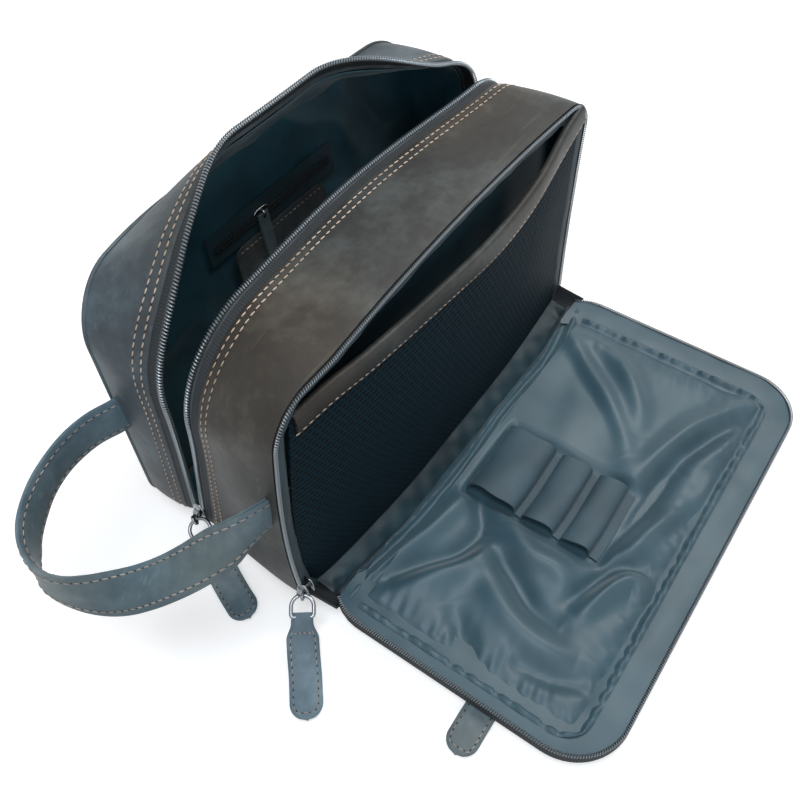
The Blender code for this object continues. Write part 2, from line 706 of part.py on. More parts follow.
def coil_slider(name, place, inner_width):
    """A slider with an outer plate, a post that runs between the coils and an inner plate.

    In its own frame X runs along the zip, Y across it and Z outwards; the coils' middles are at Z zero."""
    outer = CHANNEL + SLIDER_PLATE
    half, post, inner = SLIDER_WIDTH / 2, POST_WIDTH / 2, inner_width / 2
    lip = CHANNEL + SLIDER_EASE
    right = [(half, outer), (half, lip), (post, CHANNEL), (post, -CHANNEL), (inner, -lip), (inner, -outer)]
    return slab(name, [mirrored(right)], SLIDER_LENGTH, NICKEL, standing(place))


def channel_slider(name, place):
    """A slider that straddles a closed chain: an outer plate with a flange down each side of the chain.

    In its own frame X runs along the zip and Z outwards, with the chain's outer face at Z zero."""
    inner = CHAIN_WIDTH / 2 + GAP
    outer = inner + SLIDER_FLANGE
    foot = -CHAIN_THICKNESS
    right = [(outer, SLIDER_PLATE + GAP), (outer, foot), (inner, foot), (inner, GAP)]
    return slab(name, [mirrored(right)], SLIDER_LENGTH, NICKEL, standing(place))


def eye_radius(wire, eye_wire):
    """Radius of the eye's middle line, which leaves the ring's wire its clearance."""
    return wire + eye_wire + GAP


def add_eye(slider, centre, axis, wire, eye_wire, root=None):
    """Joins the slider to the wire eye that holds the ring: a circle square to the ring's hinge axis.

    Where a root point on the slider is given, a stem runs from it to the nearest side of the eye."""
    centre = Vector(centre)
    axis = Vector(axis).normalized()
    place = placed(centre, axis.orthogonal(), axis.cross(axis.orthogonal()))
    radius = eye_radius(wire, eye_wire)
    turns = [2 * math.pi * i / EYE_STEPS for i in range(EYE_STEPS)]
    points = [place @ Vector((radius * math.cos(t), radius * math.sin(t), 0)) for t in turns]
    join(slider, tube(slider.name + "_eye", points, eye_wire, NICKEL, closed=True))
    if root:
        near = root - centre
        near = (near - axis * near.dot(axis)).normalized() * radius
        join(slider, tube(slider.name + "_stem", [root, centre + near], eye_wire, NICKEL))


def ring_and_tab(prefix, pivot, heading, up, wire=RING_WIRE, layer=TAB_LAYER):
    """A wire D ring hinged at pivot, and the two-layer leather tab folded round the ring's straight bar.

    Returns the two objects, the middle of the bar and the hinge axis that both turn on."""
    reach = Vector(heading).normalized()
    axis = reach.cross(Vector(up)).normalized()
    place = placed(pivot, reach, axis)
    half = RING_WIDTH / 2 - wire
    bar = RING_REACH - wire
    outline = arc((half, 0), half, 270, 90, RING_STEPS)
    outline += [(bar - wire, half), (bar, half - wire), (bar, wire - half), (bar - wire, -half)]
    path = [place @ Vector((x, y, 0)) for x, y in outline]
    ring = tube(prefix + "_ring", path, wire, NICKEL, closed=True)
    neck, wide = TAB_NECK / 2, TAB_WIDTH / 2
    start = bar + wire + GAP
    shoulder = start + TAB_NECK_LENGTH
    left = [(start, neck), (shoulder - neck / 2, neck), (shoulder, wide)]
    tip = arc((start + TAB_LENGTH - wide, 0), wide, 90, -90, TIP_STEPS)
    tab = slab(
        prefix + "_tab", [left + tip + [(x, -y) for x, y in reversed(left)]], 2 * layer, LEATHER_DARK, place
    )
    bar_middle = place @ Vector((bar, 0, 0))
    sleeve = [arc((0, 0), wire + GAP + extra, 0, SLEEVE_DEG, SLEEVE_STEPS) for extra in (layer, 0)]
    across = placed(bar_middle, reach, reach.cross(axis))
    outline = sleeve[0] + sleeve[1][::-1]
    join(tab, slab(prefix + "_tab_fold", [outline], TAB_NECK, LEATHER_DARK, across))
    return ring, tab, bar_middle, axis


def build_pull(prefix, place, inner_width, heading, up):
    """A coil zip's slider, ring and tab; the ring's pivot is on the outer plate, below its middle."""
    slider = coil_slider(prefix + "_slider", place, inner_width)
    root = place @ Vector((-SLIDER_LENGTH / 4, 0, CHANNEL + SLIDER_PLATE / 2))
    stand_off = CHANNEL + SLIDER_PLATE + EYE_STEM + eye_radius(RING_WIRE, EYE_WIRE)
    pivot = place @ Vector((-SLIDER_LENGTH / 4, 0, stand_off))
    ring, tab, bar, axis = ring_and_tab(prefix, pivot, heading, up)
    add_eye(slider, pivot, axis, RING_WIRE, EYE_WIRE, root)
    return slider, ring, tab, pivot, bar, axis


def build_main_pull():
    """The main zip's pull, parked at the foot of the bag's left end."""
    x = -LENGTH / 2 + TAPE_INSET
    middle = (x, FRONT_Y + zip_depth(x, MAIN_SLIDER_Z) + COIL_PITCH / 2, MAIN_SLIDER_Z)
    along = Vector((0, -ZIP_FOOT_SLOPE, 1))
    place = placed(middle, along, (0, 1, ZIP_FOOT_SLOPE))
    return build_pull("main", place, SLIDER_WIDTH, MAIN_TAB_HEADING, MAIN_TAB_UP)


def build_clamshell_pull():
    """The clamshell zip's pull, parked at the foot of the front opening's left side."""
    middle = (-LENGTH / 2 + CLAM_COIL_INSET, CLAM_COIL_Y - COIL_PITCH / 2, CLAM_SLIDER_Z)
    place = placed(middle, (0, 0, 1), (0, 1, 0))
    inner_width = COIL_PITCH - TAPE - 3 * GAP
    return build_pull("clamshell", place, inner_width, CLAM_TAB_HEADING, CLAM_TAB_UP)


def build_door_pocket_pull():
    """The door pocket's pull, which lies flat between the door and the table."""
    chain_low = DOOR_LIFT + LEATHER - CHAIN_THICKNESS
    place = placed((DOOR_SLIDER_X, DOOR_POCKET_Y, chain_low), (1, 0, 0), (0, -1, 0))
    slider = channel_slider("door_pocket_slider", place)
    radius = eye_radius(FINE_RING_WIRE, FINE_EYE_WIRE) - FINE_EYE_WIRE / 2
    pivot = Vector((DOOR_SLIDER_X - SLIDER_LENGTH / 2 - radius, DOOR_POCKET_Y, FINE_TAB_Z))
    ring, tab, bar, axis = ring_and_tab(
        "door_pocket", pivot, (-1, 0, 0), (0, 0, -1), FINE_RING_WIRE, FINE_TAB_LAYER
    )
    add_eye(slider, pivot, axis, FINE_RING_WIRE, FINE_EYE_WIRE)
    return slider, ring, tab, pivot, bar, axis


def inner_y(z, offset):
    """A surface inside the level middle of the back panel, offset towards the front."""
    return FRONT_Y + DEPTH + BACK_BOW * z / HEIGHT - offset


def build_inner_pocket():
    """The zip pocket inside the back wall: tape, chain, slider and puller, with a leather patch below it."""
    tape_offset = SEAM_GAP + LINING + GAP + TAPE / 2
    patch_offset = SEAM_GAP + LINING + GAP + LEATHER / 2
    chain_offset = tape_offset + TAPE / 2 + GAP + CHAIN_THICKNESS

    sides = (PATCH_MIDDLE_X - PATCH_HALF, PATCH_MIDDLE_X + PATCH_HALF)
    rows = [[(x, inner_y(z, patch_offset), z) for x in sides] for z in (PATCH_FOOT, PATCH_TOP)]
    patch = sheet("inner_patch", rows, LEATHER, LEATHER_BROWN)

    half = INNER_ZIP_HALF + INNER_TAPE_MARGIN
    rows = []
    for side in (-1, 1):
        z = INNER_ZIP_Z + side * INNER_TAPE_HALF_HEIGHT
        rows.append([(x, inner_y(z, tape_offset), z) for x in (-half, half)])
    tape = sheet("inner_pocket_tape", rows, TAPE, FABRIC_BLACK)

    up = Vector((0, BACK_BOW / HEIGHT, 1)).normalized()
    chain_face = (0, inner_y(INNER_ZIP_Z, chain_offset), INNER_ZIP_Z)
    place = placed(chain_face, (1, 0, 0), up)
    sunk = place @ Matrix.Translation((0, 0, -CHAIN_THICKNESS / 2))
    outline = oblong(-INNER_ZIP_HALF, INNER_ZIP_HALF, CHAIN_WIDTH / 2)
    chain = slab("inner_pocket_chain", [outline], CHAIN_THICKNESS, COIL_METAL, sunk)

    slider_place = place @ Matrix.Translation((INNER_SLIDER_X, 0, 0))
    slider = channel_slider("inner_pocket_slider", slider_place)
    stand_off = GAP + SLIDER_PLATE + eye_radius(RING_WIRE, EYE_WIRE) - EYE_WIRE / 2
    pivot = slider_place @ Vector((0, 0, stand_off))
    add_eye(slider, pivot, (1, 0, 0), RING_WIRE, EYE_WIRE)
    hang = placed(pivot, -up, (1, 0, 0))
    strip = oblong(-PULLER_BAR, PULLER_LENGTH, PULLER_WIDTH / 2)
    hole = oblong(PULLER_BAR, PULLER_HOLE, PULLER_HOLE_HALF)
    puller = slab("inner_pocket_puller", [strip, hole], PULLER_THICKNESS, LEATHER_DARK, hang)
    return [patch, tape, chain], slider, puller, pivot


def joint_axis(name, position, parent=None):
    """An empty on a joint's axis, which carries one moving body."""
    axis = bpy.data.objects.new(name, None)
    axis.empty_display_size = LEATHER
    parts.objects.link(axis)
    carry(axis, parent, position)
    joint_places[name] = Vector(position)
    return axis


def carry(thing, body, position=(0, 0, 0)):
    """Parents thing to a body's empty and leaves it at its place in the world."""
    thing.parent = body
    origin = joint_places[body.name] if body else Vector()
    thing.location = Vector(position) - origin


def carry_pull(prefix, slider, ring, tab, pivot, bar, parent):
    """Hangs a slider on its slide, its ring on the slider and its tab on the ring."""
    runner = joint_axis(prefix + "_slide", pivot, parent)
    carry(slider, runner)
    ring_axis = joint_axis(prefix + "_ring_hinge", pivot, runner)
    carry(ring, ring_axis)
    tab_axis = joint_axis(prefix + "_tab_hinge", bar, ring_axis)
    carry(tab, tab_axis)


def build_bag():
    """Builds every piece and hangs the moving ones on the empties of their joints."""
    build_front_half()
    build_mesh_pocket()
    mouth = joint_axis("mouth_hinge", (0, FRONT_Y + DEPTH, MOUTH_PIVOT_Z))
    for piece in build_back_half():
        carry(piece, mouth)
    top = joint_axis("top_fold", (0, FRONT_Y + TOP_FOLD_DEPTH, HEIGHT + TOP_FOLD_RISE), mouth)
    for piece in build_back_top():
        carry(piece, top)
    door = joint_axis("door_hinge", (0, DOOR_PIVOT_Y, DOOR_PIVOT_Z))
    for piece in build_door():
        carry(piece, door)
    loop = joint_axis("handle_swing", handle_hinge()[0])
    for piece in build_handle()[0]:
        carry(piece, loop)
    slider, ring, tab, pivot, bar, _ = build_main_pull()
    carry_pull("main", slider, ring, tab, pivot, bar, None)
    slider, ring, tab, pivot, bar, _ = build_clamshell_pull()
    carry_pull("clamshell", slider, ring, tab, pivot, bar, None)
    slider, ring, tab, pivot, bar, _ = build_door_pocket_pull()
    carry_pull("door_pocket", slider, ring, tab, pivot, bar, door)
    pocket, slider, puller, pivot = build_inner_pocket()
    for piece in pocket:
        carry(piece, mouth)
    runner = joint_axis("inner_pocket_slide", pivot, mouth)
    carry(slider, runner)
    carry(puller, joint_axis("inner_pocket_puller_hinge", pivot, runner))


for old in list(bpy.data.objects):
    bpy.data.objects.remove(old)
parts = bpy.data.collections.new("toiletry_bag")
bpy.context.scene.collection.children.link(parts)
cutters = bpy.data.collections.new("cutters")
bpy.context.scene.collection.children.link(cutters)
joint_places = {}

LEATHER_BROWN = material("waxed brown leather", (0.105, 0.082, 0.06), 0.6)
LEATHER_DARK = material("waxed dark leather", (0.075, 0.075, 0.078), 0.6)
FABRIC_BLACK = material("black nylon", (0.01, 0.016, 0.02), 0.75)
FABRIC_SLATE = material("slate satin lining", (0.045, 0.075, 0.095), 0.55)
MESH_BLACK = material("black mesh", (0.01, 0.012, 0.016), 0.8)
ELASTIC_BLACK = material("black elastic", (0.02, 0.028, 0.034), 0.8)
COIL_METAL = material("grey nylon coil", (0.12, 0.13, 0.14), 0.35)
NICKEL = material("polished gunmetal", (0.35, 0.35, 0.37), 0.22, 1.0)

build_bag()
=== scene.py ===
"""A waxed leather toiletry bag with its main zip open and its front folded down, on a plain floor."""

import math

import bpy
import numpy as np
from mathutils import Matrix, Vector

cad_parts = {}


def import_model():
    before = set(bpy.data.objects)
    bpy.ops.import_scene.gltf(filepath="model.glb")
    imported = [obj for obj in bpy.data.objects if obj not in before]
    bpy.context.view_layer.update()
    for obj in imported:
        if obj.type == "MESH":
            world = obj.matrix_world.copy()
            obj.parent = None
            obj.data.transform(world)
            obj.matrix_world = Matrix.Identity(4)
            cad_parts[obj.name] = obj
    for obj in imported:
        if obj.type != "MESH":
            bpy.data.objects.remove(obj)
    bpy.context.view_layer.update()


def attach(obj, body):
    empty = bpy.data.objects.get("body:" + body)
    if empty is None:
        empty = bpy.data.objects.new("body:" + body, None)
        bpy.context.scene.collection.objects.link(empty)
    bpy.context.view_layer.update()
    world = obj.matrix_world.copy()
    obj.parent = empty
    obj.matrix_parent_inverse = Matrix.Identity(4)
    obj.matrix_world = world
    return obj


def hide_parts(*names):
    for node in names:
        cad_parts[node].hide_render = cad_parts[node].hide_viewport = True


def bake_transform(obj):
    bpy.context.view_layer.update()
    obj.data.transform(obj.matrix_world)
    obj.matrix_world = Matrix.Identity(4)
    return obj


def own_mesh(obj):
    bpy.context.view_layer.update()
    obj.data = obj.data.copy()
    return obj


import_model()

# Sizes are in millimetres from the middle of the front opening's foot: X along the bag, Y to its back, Z up.
MM = 0.001
LENGTH, HEIGHT, DEPTH = 250.0, 145.0, 102.0
FRONT_Y = -51.0  # the opening's plane in the frame
RIM_RADII = (20.0, 20.0)  # the outlines' upper corners, left and right
ZIP_RADII = (45.0, 28.0)
BACK_RADII = (28.0, 28.0)
FOOT_RADIUS = 17.0
LEATHER = 1.5
CLOTH = 0.5
BULGE = 18.0  # of the open back at its top edge

# The back half's turn and its top's fold, about (y, z), and where along the top that fold is full and ends.
MOUTH_DEG, MOUTH_PIVOT = 5.5, (102.0, 2.0)
TOP_FOLD_DEG, TOP_PIVOT = 50.0, (117.0, 146.6)
FOLD_MIDDLE, FOLD_FULL, FOLD_NONE = -8.0, 25.0, 120.0
BAG_CENTRE = (0.0, 50.0, 60.0)

BAND_ROWS = 30
STITCH_ROWS = (2.6, 6.8)  # from the leather's edge along the main zip
TAPE_SHOWING = 7.2
COILS_APART = 3.4  # the two closed coils' middles
TEETH_INSET = 0.6

DOOR_PIVOT = (-12.4, 2.2)
RIM_COIL_Y = -0.6
DOOR_COIL_Z = 10.4
DOOR_HALF = LENGTH / 2
DOOR_FAR_Y = DOOR_PIVOT[0] - (HEIGHT - DOOR_PIVOT[1])
DOOR_CENTRE = (0.0, -84.0, 0.0)
COIL_INSET = 0.9
FINE_COIL = (0.75, 1.2, 0.3)  # radius, pitch and wire of the opening's coil
POCKET_COIL = (0.9, 1.4, 0.36)
DOWN, FORWARD, UP = (0.0, 0.0, -1.0), (0.0, -1.0, 0.0), (0.0, 0.0, 1.0)


def world(points):
    """Millimetres from the front opening's plane, to the frame's metres."""
    return (np.asarray(points, float) + (0.0, FRONT_Y, 0.0)) * MM


def srgb(code):
    """A hex colour as linear RGBA."""
    channels = [int(code[i : i + 2], 16) / 255 for i in (1, 3, 5)]
    return tuple(c / 12.92 if c <= 0.04045 else ((c + 0.055) / 1.055) ** 2.4 for c in channels) + (1.0,)


def smooth(t):
    """0 to 1 with level ends."""
    t = np.clip(t, 0, 1)
    return t * t * (3 - 2 * t)


def unit(v):
    """Rows scaled to length one."""
    return v / np.maximum(np.linalg.norm(v, axis=-1, keepdims=True), 1e-12)


SLACK_DEPTH = 55.0  # how far back the front half's ends and top still give


def leaning(p):
    """How far the ends sit to one side with the front down, by depth: the left end out, the right end in."""
    x, y, z = p[..., 0], p[..., 1], p[..., 2]
    inward = smooth((x - 70) / 50) * np.sin(math.pi * np.clip(z / 150, 0, 1)) ** 0.8
    outward = smooth((-70 - x) / 45) * np.sin(math.pi * np.clip((z + 20) / 165, 0, 1))
    return (1 - smooth(y / SLACK_DEPTH)) * (-4.5 * inward - 7.0 * outward)


def relaxed(p):
    """The front half as it sits with the front down: the ends lean aside, the top bows up and back."""
    near = 1 - smooth(p[..., 1] / SLACK_DEPTH)
    crown = near * np.maximum(0, 1 - ((p[..., 0] - 22) / 112) ** 2) * smooth((p[..., 2] - 75) / 65)
    return p + np.stack([leaning(p), 3.2 * crown, 2.8 * crown], axis=-1)


def fill(tree, node, inputs):
    """A node's inputs, set to values or linked to sockets."""
    for key, value in inputs.items():
        if isinstance(value, bpy.types.NodeSocket):
            tree.links.new(value, node.inputs[key])
        else:
            node.inputs[key].default_value = value


def per(millimetres):
    """The scale of a pattern whose marks are that far apart, on coordinates in metres."""
    return 1 / (millimetres * MM)


def add(tree, kind, inputs=None, stops=None, **settings):
    """One shader node: its settings, its inputs and its ramp's stops."""
    node = tree.nodes.new("ShaderNode" + kind)
    for name, value in settings.items():
        setattr(node, name, value)
    fill(tree, node, inputs or {})
    for i, (place, code) in enumerate(stops or ()):
        points = node.color_ramp.elements
        point = points[i] if i < 2 else points.new(place)
        point.position = place
        point.color = srgb(code)
    return node


def new_material(name, roughness=0.5):
    """An empty material with its Principled shader."""
    made = bpy.data.materials.new(name)
    made.use_nodes = True
    shader = made.node_tree.nodes["Principled BSDF"]
    shader.inputs["Roughness"].default_value = roughness
    return made, made.node_tree, shader


COOL_CAST, WARM_CAST = "#e2eef4", "#fff3e6"


def waxed_leather(name, dark, middle, light, roughness):
    """Oiled and waxed cowhide, tumbled after dyeing.

    Broad clouds are the wax pulling up pale where the hide bends, a slow cast runs from cool to warm over a
    hand's width, fine streaks are handling scratches, and the bump is pebble grain over soft creases."""
    made, tree, shader = new_material(name)
    place = add(tree, "TexCoord").outputs["Object"]
    clouds = add(tree, "TexNoise", {"Vector": place, "Scale": per(41.7), "Detail": 4.0, "Roughness": 0.5})
    specks = add(tree, "TexNoise", {"Vector": place, "Scale": per(4.76), "Detail": 3.0})
    both = {0: 0.2, 2: clouds.outputs["Fac"], 3: specks.outputs["Fac"]}
    both = add(tree, "Mix", both, data_type="FLOAT").outputs[0]
    tone = add(tree, "ValToRGB", {"Fac": both}, [(0.3, dark), (0.7, light), (0.5, middle)])
    turned = {"Vector": place, "Rotation": (0.4, 0.3, 0.6), "Scale": (per(71.4), per(3.85), per(7.14))}
    drawn = add(tree, "Mapping", turned).outputs["Vector"]
    streak = add(tree, "TexNoise", {"Vector": drawn, "Scale": 1.0, "Detail": 2.0})
    scratch = add(tree, "MapRange", {0: streak.outputs["Fac"], 1: 0.66, 2: 0.74, 3: 0.0, 4: 0.35})
    worn = {0: scratch.outputs[0], 6: tone.outputs["Color"], 7: srgb(light)}
    worn = add(tree, "Mix", worn, data_type="RGBA").outputs[2]
    slow = add(tree, "TexNoise", {"Vector": place, "Scale": per(111), "Detail": 1.0})
    cast = add(tree, "ValToRGB", {"Fac": slow.outputs["Fac"]}, [(0.4, COOL_CAST), (0.6, WARM_CAST)])
    dyed = {0: 1.0, 6: worn, 7: cast.outputs["Color"]}
    dyed = add(tree, "Mix", dyed, data_type="RGBA", blend_type="MULTIPLY").outputs[2]
    pebbles = add(tree, "TexVoronoi", {"Vector": place, "Scale": per(0.8)}, feature="SMOOTH_F1")
    creased = {"Vector": place, "Scale": per(9.09), "Detail": 4.0, "Roughness": 0.55}
    creased = add(tree, "TexNoise", creased)
    fine = {"Height": pebbles.outputs["Distance"], "Strength": 0.22, "Distance": 0.3 * MM}
    fine = add(tree, "Bump", fine).outputs["Normal"]
    soft = {"Height": creased.outputs["Fac"], "Strength": 0.3, "Distance": 0.6 * MM, "Normal": fine}
    soft = add(tree, "Bump", soft).outputs["Normal"]
    polish = add(tree, "MapRange", {0: clouds.outputs["Fac"], 3: roughness + 0.08, 4: roughness - 0.08})
    finish = {"Base Color": dyed, "Normal": soft, "Roughness": polish.outputs[0], "Specular IOR Level": 0.3}
    fill(tree, shader, finish)
    return made


def woven_fabric(name, dark, light, roughness, sheen, thread_mm=0.6):
    """Piece-dyed nylon: an even colour, threads in the bump, a soft sheen at the edges.

    The threads are drawn 0.6 mm apart, about three times the real ones, so that they show."""
    made, tree, shader = new_material(name, roughness)
    place = add(tree, "TexCoord").outputs["Object"]
    wear = add(tree, "TexNoise", {"Vector": place, "Scale": per(25), "Detail": 3.0})
    tone = add(tree, "ValToRGB", {"Fac": wear.outputs["Fac"]}, [(0.35, dark), (0.65, light)])
    weave = add(tree, "TexNoise", {"Vector": place, "Scale": per(thread_mm), "Detail": 2.0})
    bump = add(tree, "Bump", {"Height": weave.outputs["Fac"], "Strength": 0.2, "Distance": 0.2 * MM})
    fill(tree, shader, {"Base Color": tone.outputs["Color"], "Normal": bump.outputs["Normal"]})
    fill(tree, shader, {"Sheen Weight": sheen, "Sheen Roughness": 0.45})
    return made


def ribbed_webbing(name, ground, raised, pitch_mm, roughness):
    """Woven tape with raised ribs: a sine along the UV map's first axis, which is in metres. Its colour
    follows the rib height: painted shade in the grooves, painted light on the ribs.
    """
    made, tree, shader = new_material(name, roughness)
    flat = add(tree, "TexCoord").outputs["UV"]
    axes = add(tree, "SeparateXYZ", {0: flat})
    turns = add(tree, "Math", {0: axes.outputs[0], 1: 2 * math.pi * per(pitch_mm)}, operation="MULTIPLY")
    wave = add(tree, "Math", {0: turns.outputs[0]}, operation="SINE")
    rib = add(tree, "MapRange", {0: wave.outputs[0], 1: -1.0, 2: 1.0}).outputs[0]
    # Painted shade and light: the tone is dark in the grooves and pale on the ribs, following their height.
    tone = add(tree, "ValToRGB", {"Fac": rib}, [(0.2, ground), (0.8, raised)])
    bump = add(tree, "Bump", {"Height": rib, "Strength": 0.45, "Distance": 0.3 * MM})
    fill(tree, shader, {"Base Color": tone.outputs["Color"], "Normal": bump.outputs["Normal"]})
    return made


def air_mesh(name, thread, hole, across_mm, up_mm):
    """Knitted spacer mesh: oblong holes in rows, each row half a step along from the last.

    The distance from each cell's middle, wider across than up, is dark in the hole and pale on the thread."""
    made, tree, shader = new_material(name, 0.72)
    flat = add(tree, "TexCoord").outputs["UV"]
    cells = add(tree, "VectorMath", {0: flat, 1: (per(across_mm), per(up_mm), 1)}, operation="MULTIPLY")
    axes = add(tree, "SeparateXYZ", {0: cells.outputs[0]})
    row = add(tree, "Math", {0: axes.outputs[1]}, operation="FLOOR")
    along = {0: row.outputs[0], 1: 0.5, 2: axes.outputs[0]}
    along = add(tree, "Math", along, operation="MULTIPLY_ADD")
    shifted = add(tree, "CombineXYZ", {0: along.outputs[0], 1: axes.outputs[1]})
    inside = add(tree, "VectorMath", {0: shifted.outputs[0]}, operation="FRACTION")
    centred = add(tree, "VectorMath", {0: inside.outputs[0], 1: (0.5, 0.5, 0)}, operation="SUBTRACT")
    oval = add(tree, "VectorMath", {0: centred.outputs[0], 1: (1.1, 1.7, 0)}, operation="MULTIPLY")
    away = add(tree, "VectorMath", {0: oval.outputs[0]}, operation="LENGTH")
    ring = add(tree, "MapRange", {0: away.outputs["Value"], 1: 0.3, 2: 0.55}).outputs[0]
    tone = add(tree, "ValToRGB", {"Fac": ring}, [(0.1, hole), (0.95, thread)])
    bump = add(tree, "Bump", {"Height": ring, "Strength": 1.0, "Distance": 1.2 * MM})
    fill(tree, shader, {"Base Color": tone.outputs["Color"], "Normal": bump.outputs["Normal"]})
    fill(tree, shader, {"Specular IOR Level": 0.12})
    return made


def plated(name, code, roughness, metallic=1.0):
    """Cast zinc or nylon with a plated face: smooth, its polish a little cloudy."""
    made, tree, shader = new_material(name)
    place = add(tree, "TexCoord").outputs["Object"]
    cloud = add(tree, "TexNoise", {"Vector": place, "Scale": per(2), "Detail": 3.0})
    polish = add(tree, "MapRange", {0: cloud.outputs["Fac"], 3: roughness - 0.06, 4: roughness + 0.08})
    fill(tree, shader, {"Roughness": polish.outputs[0], "Base Color": srgb(code), "Metallic": metallic})
    return made


# Wax over a grey-brown dye: the front shows its warm side, the back its blue-grey one.
LEATHER_FRONT = waxed_leather("waxed_cowhide_grey_brown", "#1e1d1c", "#343330", "#5a5b58", 0.5)
LEATHER_BACK = waxed_leather("waxed_cowhide_slate", "#33383c", "#4a5155", "#6b757a", 0.54)
# The strap: the back's blue-grey hide drawn paler, as painted light on its upturned faces.
LEATHER_STRAP_LIT_TONE = waxed_leather("waxed_cowhide_strap_painted_light", "#45535a", "#5f7179", "#82939b", 0.5)
# The tabs: the same hide drawn paler still, as painted overhead light on their upturned faces.
LEATHER_TAB_LIT_TONE = waxed_leather("waxed_cowhide_tab_painted_light", "#526067", "#6b7b83", "#90a1a9", 0.46)
# Linings: matt black-green inside, a brighter satin on the folded-down front.
LINING_DARK = woven_fabric("dark_nylon_lining", "#17404c", "#275563", 0.5, 0.15)
LINING_FACING = woven_fabric("dark_nylon_facing", "#11272f", "#1c3842", 0.55, 0.1)
LINING_SLATE = woven_fabric("slate_satin_lining", "#304c58", "#395662", 0.46, 0.22)
ELASTIC = woven_fabric("slate_elastic", "#263d48", "#314b57", 0.6, 0.1)
TAPE_DARK = ribbed_webbing("dark_zip_tape", "#10161a", "#1e262a", 1.5, 0.78)
MESH = air_mesh("black_spacer_mesh", "#04202b", "#000305", 3.5, 2.7)
# Zip parts: dull grey plated coil teeth, brighter cast sliders and rings.
COIL = plated("grey_plated_coil", "#7f878c", 0.3, 0.7)
GUNMETAL = plated("polished_gunmetal", "#868a8e", 0.22)
CORD = woven_fabric("grey_stringer_cord", "#2b2f32", "#4a5054", 0.8, 0.0, 0.9)
# Bonded thread: tan on the seams, browner and duller on the strap and tabs.
THREAD = woven_fabric("tan_bonded_thread", "#a8937f", "#d3bfae", 0.7, 0.0)
THREAD_DIM = woven_fabric("umber_bonded_thread", "#857a72", "#b0a59d", 0.7, 0.0)
# Near-black beads at the needle holes between stitches: painted shade in the holes.
NEEDLE_HOLE_SHADE = woven_fabric("needle_hole_shadow", "#0d0b0a", "#14110f", 0.9, 0.0)


def set_mesh(name, points, faces, material, uv=None):
    """A smooth object at the origin from points in metres and faces; uv holds one pair a point."""
    mesh = bpy.data.meshes.new(name)
    mesh.from_pydata(points.tolist(), [], faces)
    mesh.materials.append(material)
    if uv is not None:
        layer = mesh.uv_layers.new(name="flat")
        corner = np.empty(len(mesh.loops), dtype=np.int32)
        mesh.loops.foreach_get("vertex_index", corner)
        layer.data.foreach_set("uv", np.asarray(uv, np.float32)[corner].ravel())
    mesh.shade_smooth()
    mesh.set_sharp_from_angle(angle=math.radians(50))
    made = bpy.data.objects.new(name, mesh)
    bpy.context.scene.collection.objects.link(made)
    return made


def check_outward(made):
    """Turns the faces round if the closed mesh holds a negative volume."""
    mesh = made.data
    mesh.calc_loop_triangles()
    co = np.empty(len(mesh.vertices) * 3)
    mesh.vertices.foreach_get("co", co)
    tri = np.empty(len(mesh.loop_triangles) * 3, dtype=np.int32)
    mesh.loop_triangles.foreach_get("vertices", tri)
    a, b, c = co.reshape(-1, 3)[tri.reshape(-1, 3)].transpose(1, 0, 2)
    if np.sum(a * np.cross(b, c)) < 0:
        mesh.flip_normals()
    return made


def run_of(path, axis=0):
    """Distances along a path, or along each row or column of a grid, from its start."""
    run = np.cumsum(np.linalg.norm(np.diff(path, axis=axis), axis=-1), axis=axis)
    return np.concatenate([np.zeros_like(np.take(run, [0], axis=axis)), run], axis=axis)


def normals_of(p, away=None, along=None):
    """Unit normals of a grid of points, turned away from a point or along a direction."""
    n = unit(np.cross(np.gradient(p, axis=1), np.gradient(p, axis=0)))
    want = p - np.asarray(away, float) if along is None else np.asarray(along, float)
    return n if np.sum(n * want) > 0 else -n


def arc_uv(p):
    """Distances along a grid's columns and rows, in metres."""
    return np.stack([run_of(p, 1), run_of(p, 0)], axis=-1) * MM


def grid_faces(rows, columns, start, flip):
    """Quads of a grid of rows by columns points."""
    r, c = np.meshgrid(np.arange(rows - 1), np.arange(columns - 1), indexing="ij")
    a = start + r * columns + c
    quads = np.stack([a, a + 1, a + columns + 1, a + columns], axis=-1).reshape(-1, 4)
    return quads[:, ::-1] if flip else quads


def skin(name, p, n, thickness, material, offset=0.0):
    """A sheet with thickness: the grid p, a second grid that much behind it, and strips round the edge.

    n is the grid's outward normals, and offset the share of the thickness that lies outside it."""
    outer = p + n * thickness * offset
    inner = p - n * thickness * (1 - offset)
    rows, columns = p.shape[:2]
    count = rows * columns
    flip = np.sum(np.cross(np.gradient(p, axis=1), np.gradient(p, axis=0)) * n) > 0
    front = grid_faces(rows, columns, 0, flip)
    back = grid_faces(rows, columns, count, not flip)
    index = np.arange(count).reshape(rows, columns)
    loop = np.concatenate([index[0], index[1:, -1], index[-1, -2::-1], index[-2:0:-1, 0]])
    after = np.roll(loop, -1)
    edge = np.stack([after, loop, loop + count, after + count], axis=-1)
    faces = np.concatenate([front, back, edge[:, ::-1] if flip else edge]).tolist()
    uv = arc_uv(p).reshape(-1, 2)
    points = world(np.concatenate([outer.reshape(-1, 3), inner.reshape(-1, 3)]))
    return check_outward(set_mesh(name, points, faces, material, np.concatenate([uv, uv])))


def resample(path, step, extras=(), count=None):
    """The path at even steps along its length, with an array that goes with its points."""
    path = np.asarray(path, float)
    run = run_of(path)
    at = np.linspace(0, run[-1], count or max(2, int(round(run[-1] / step)) + 1))
    both = np.concatenate([path, *extras], axis=1)
    both = np.stack([np.interp(at, run, column) for column in both.T], axis=1)
    return (both[:, : path.shape[1]], both[:, path.shape[1] :]) if extras else both


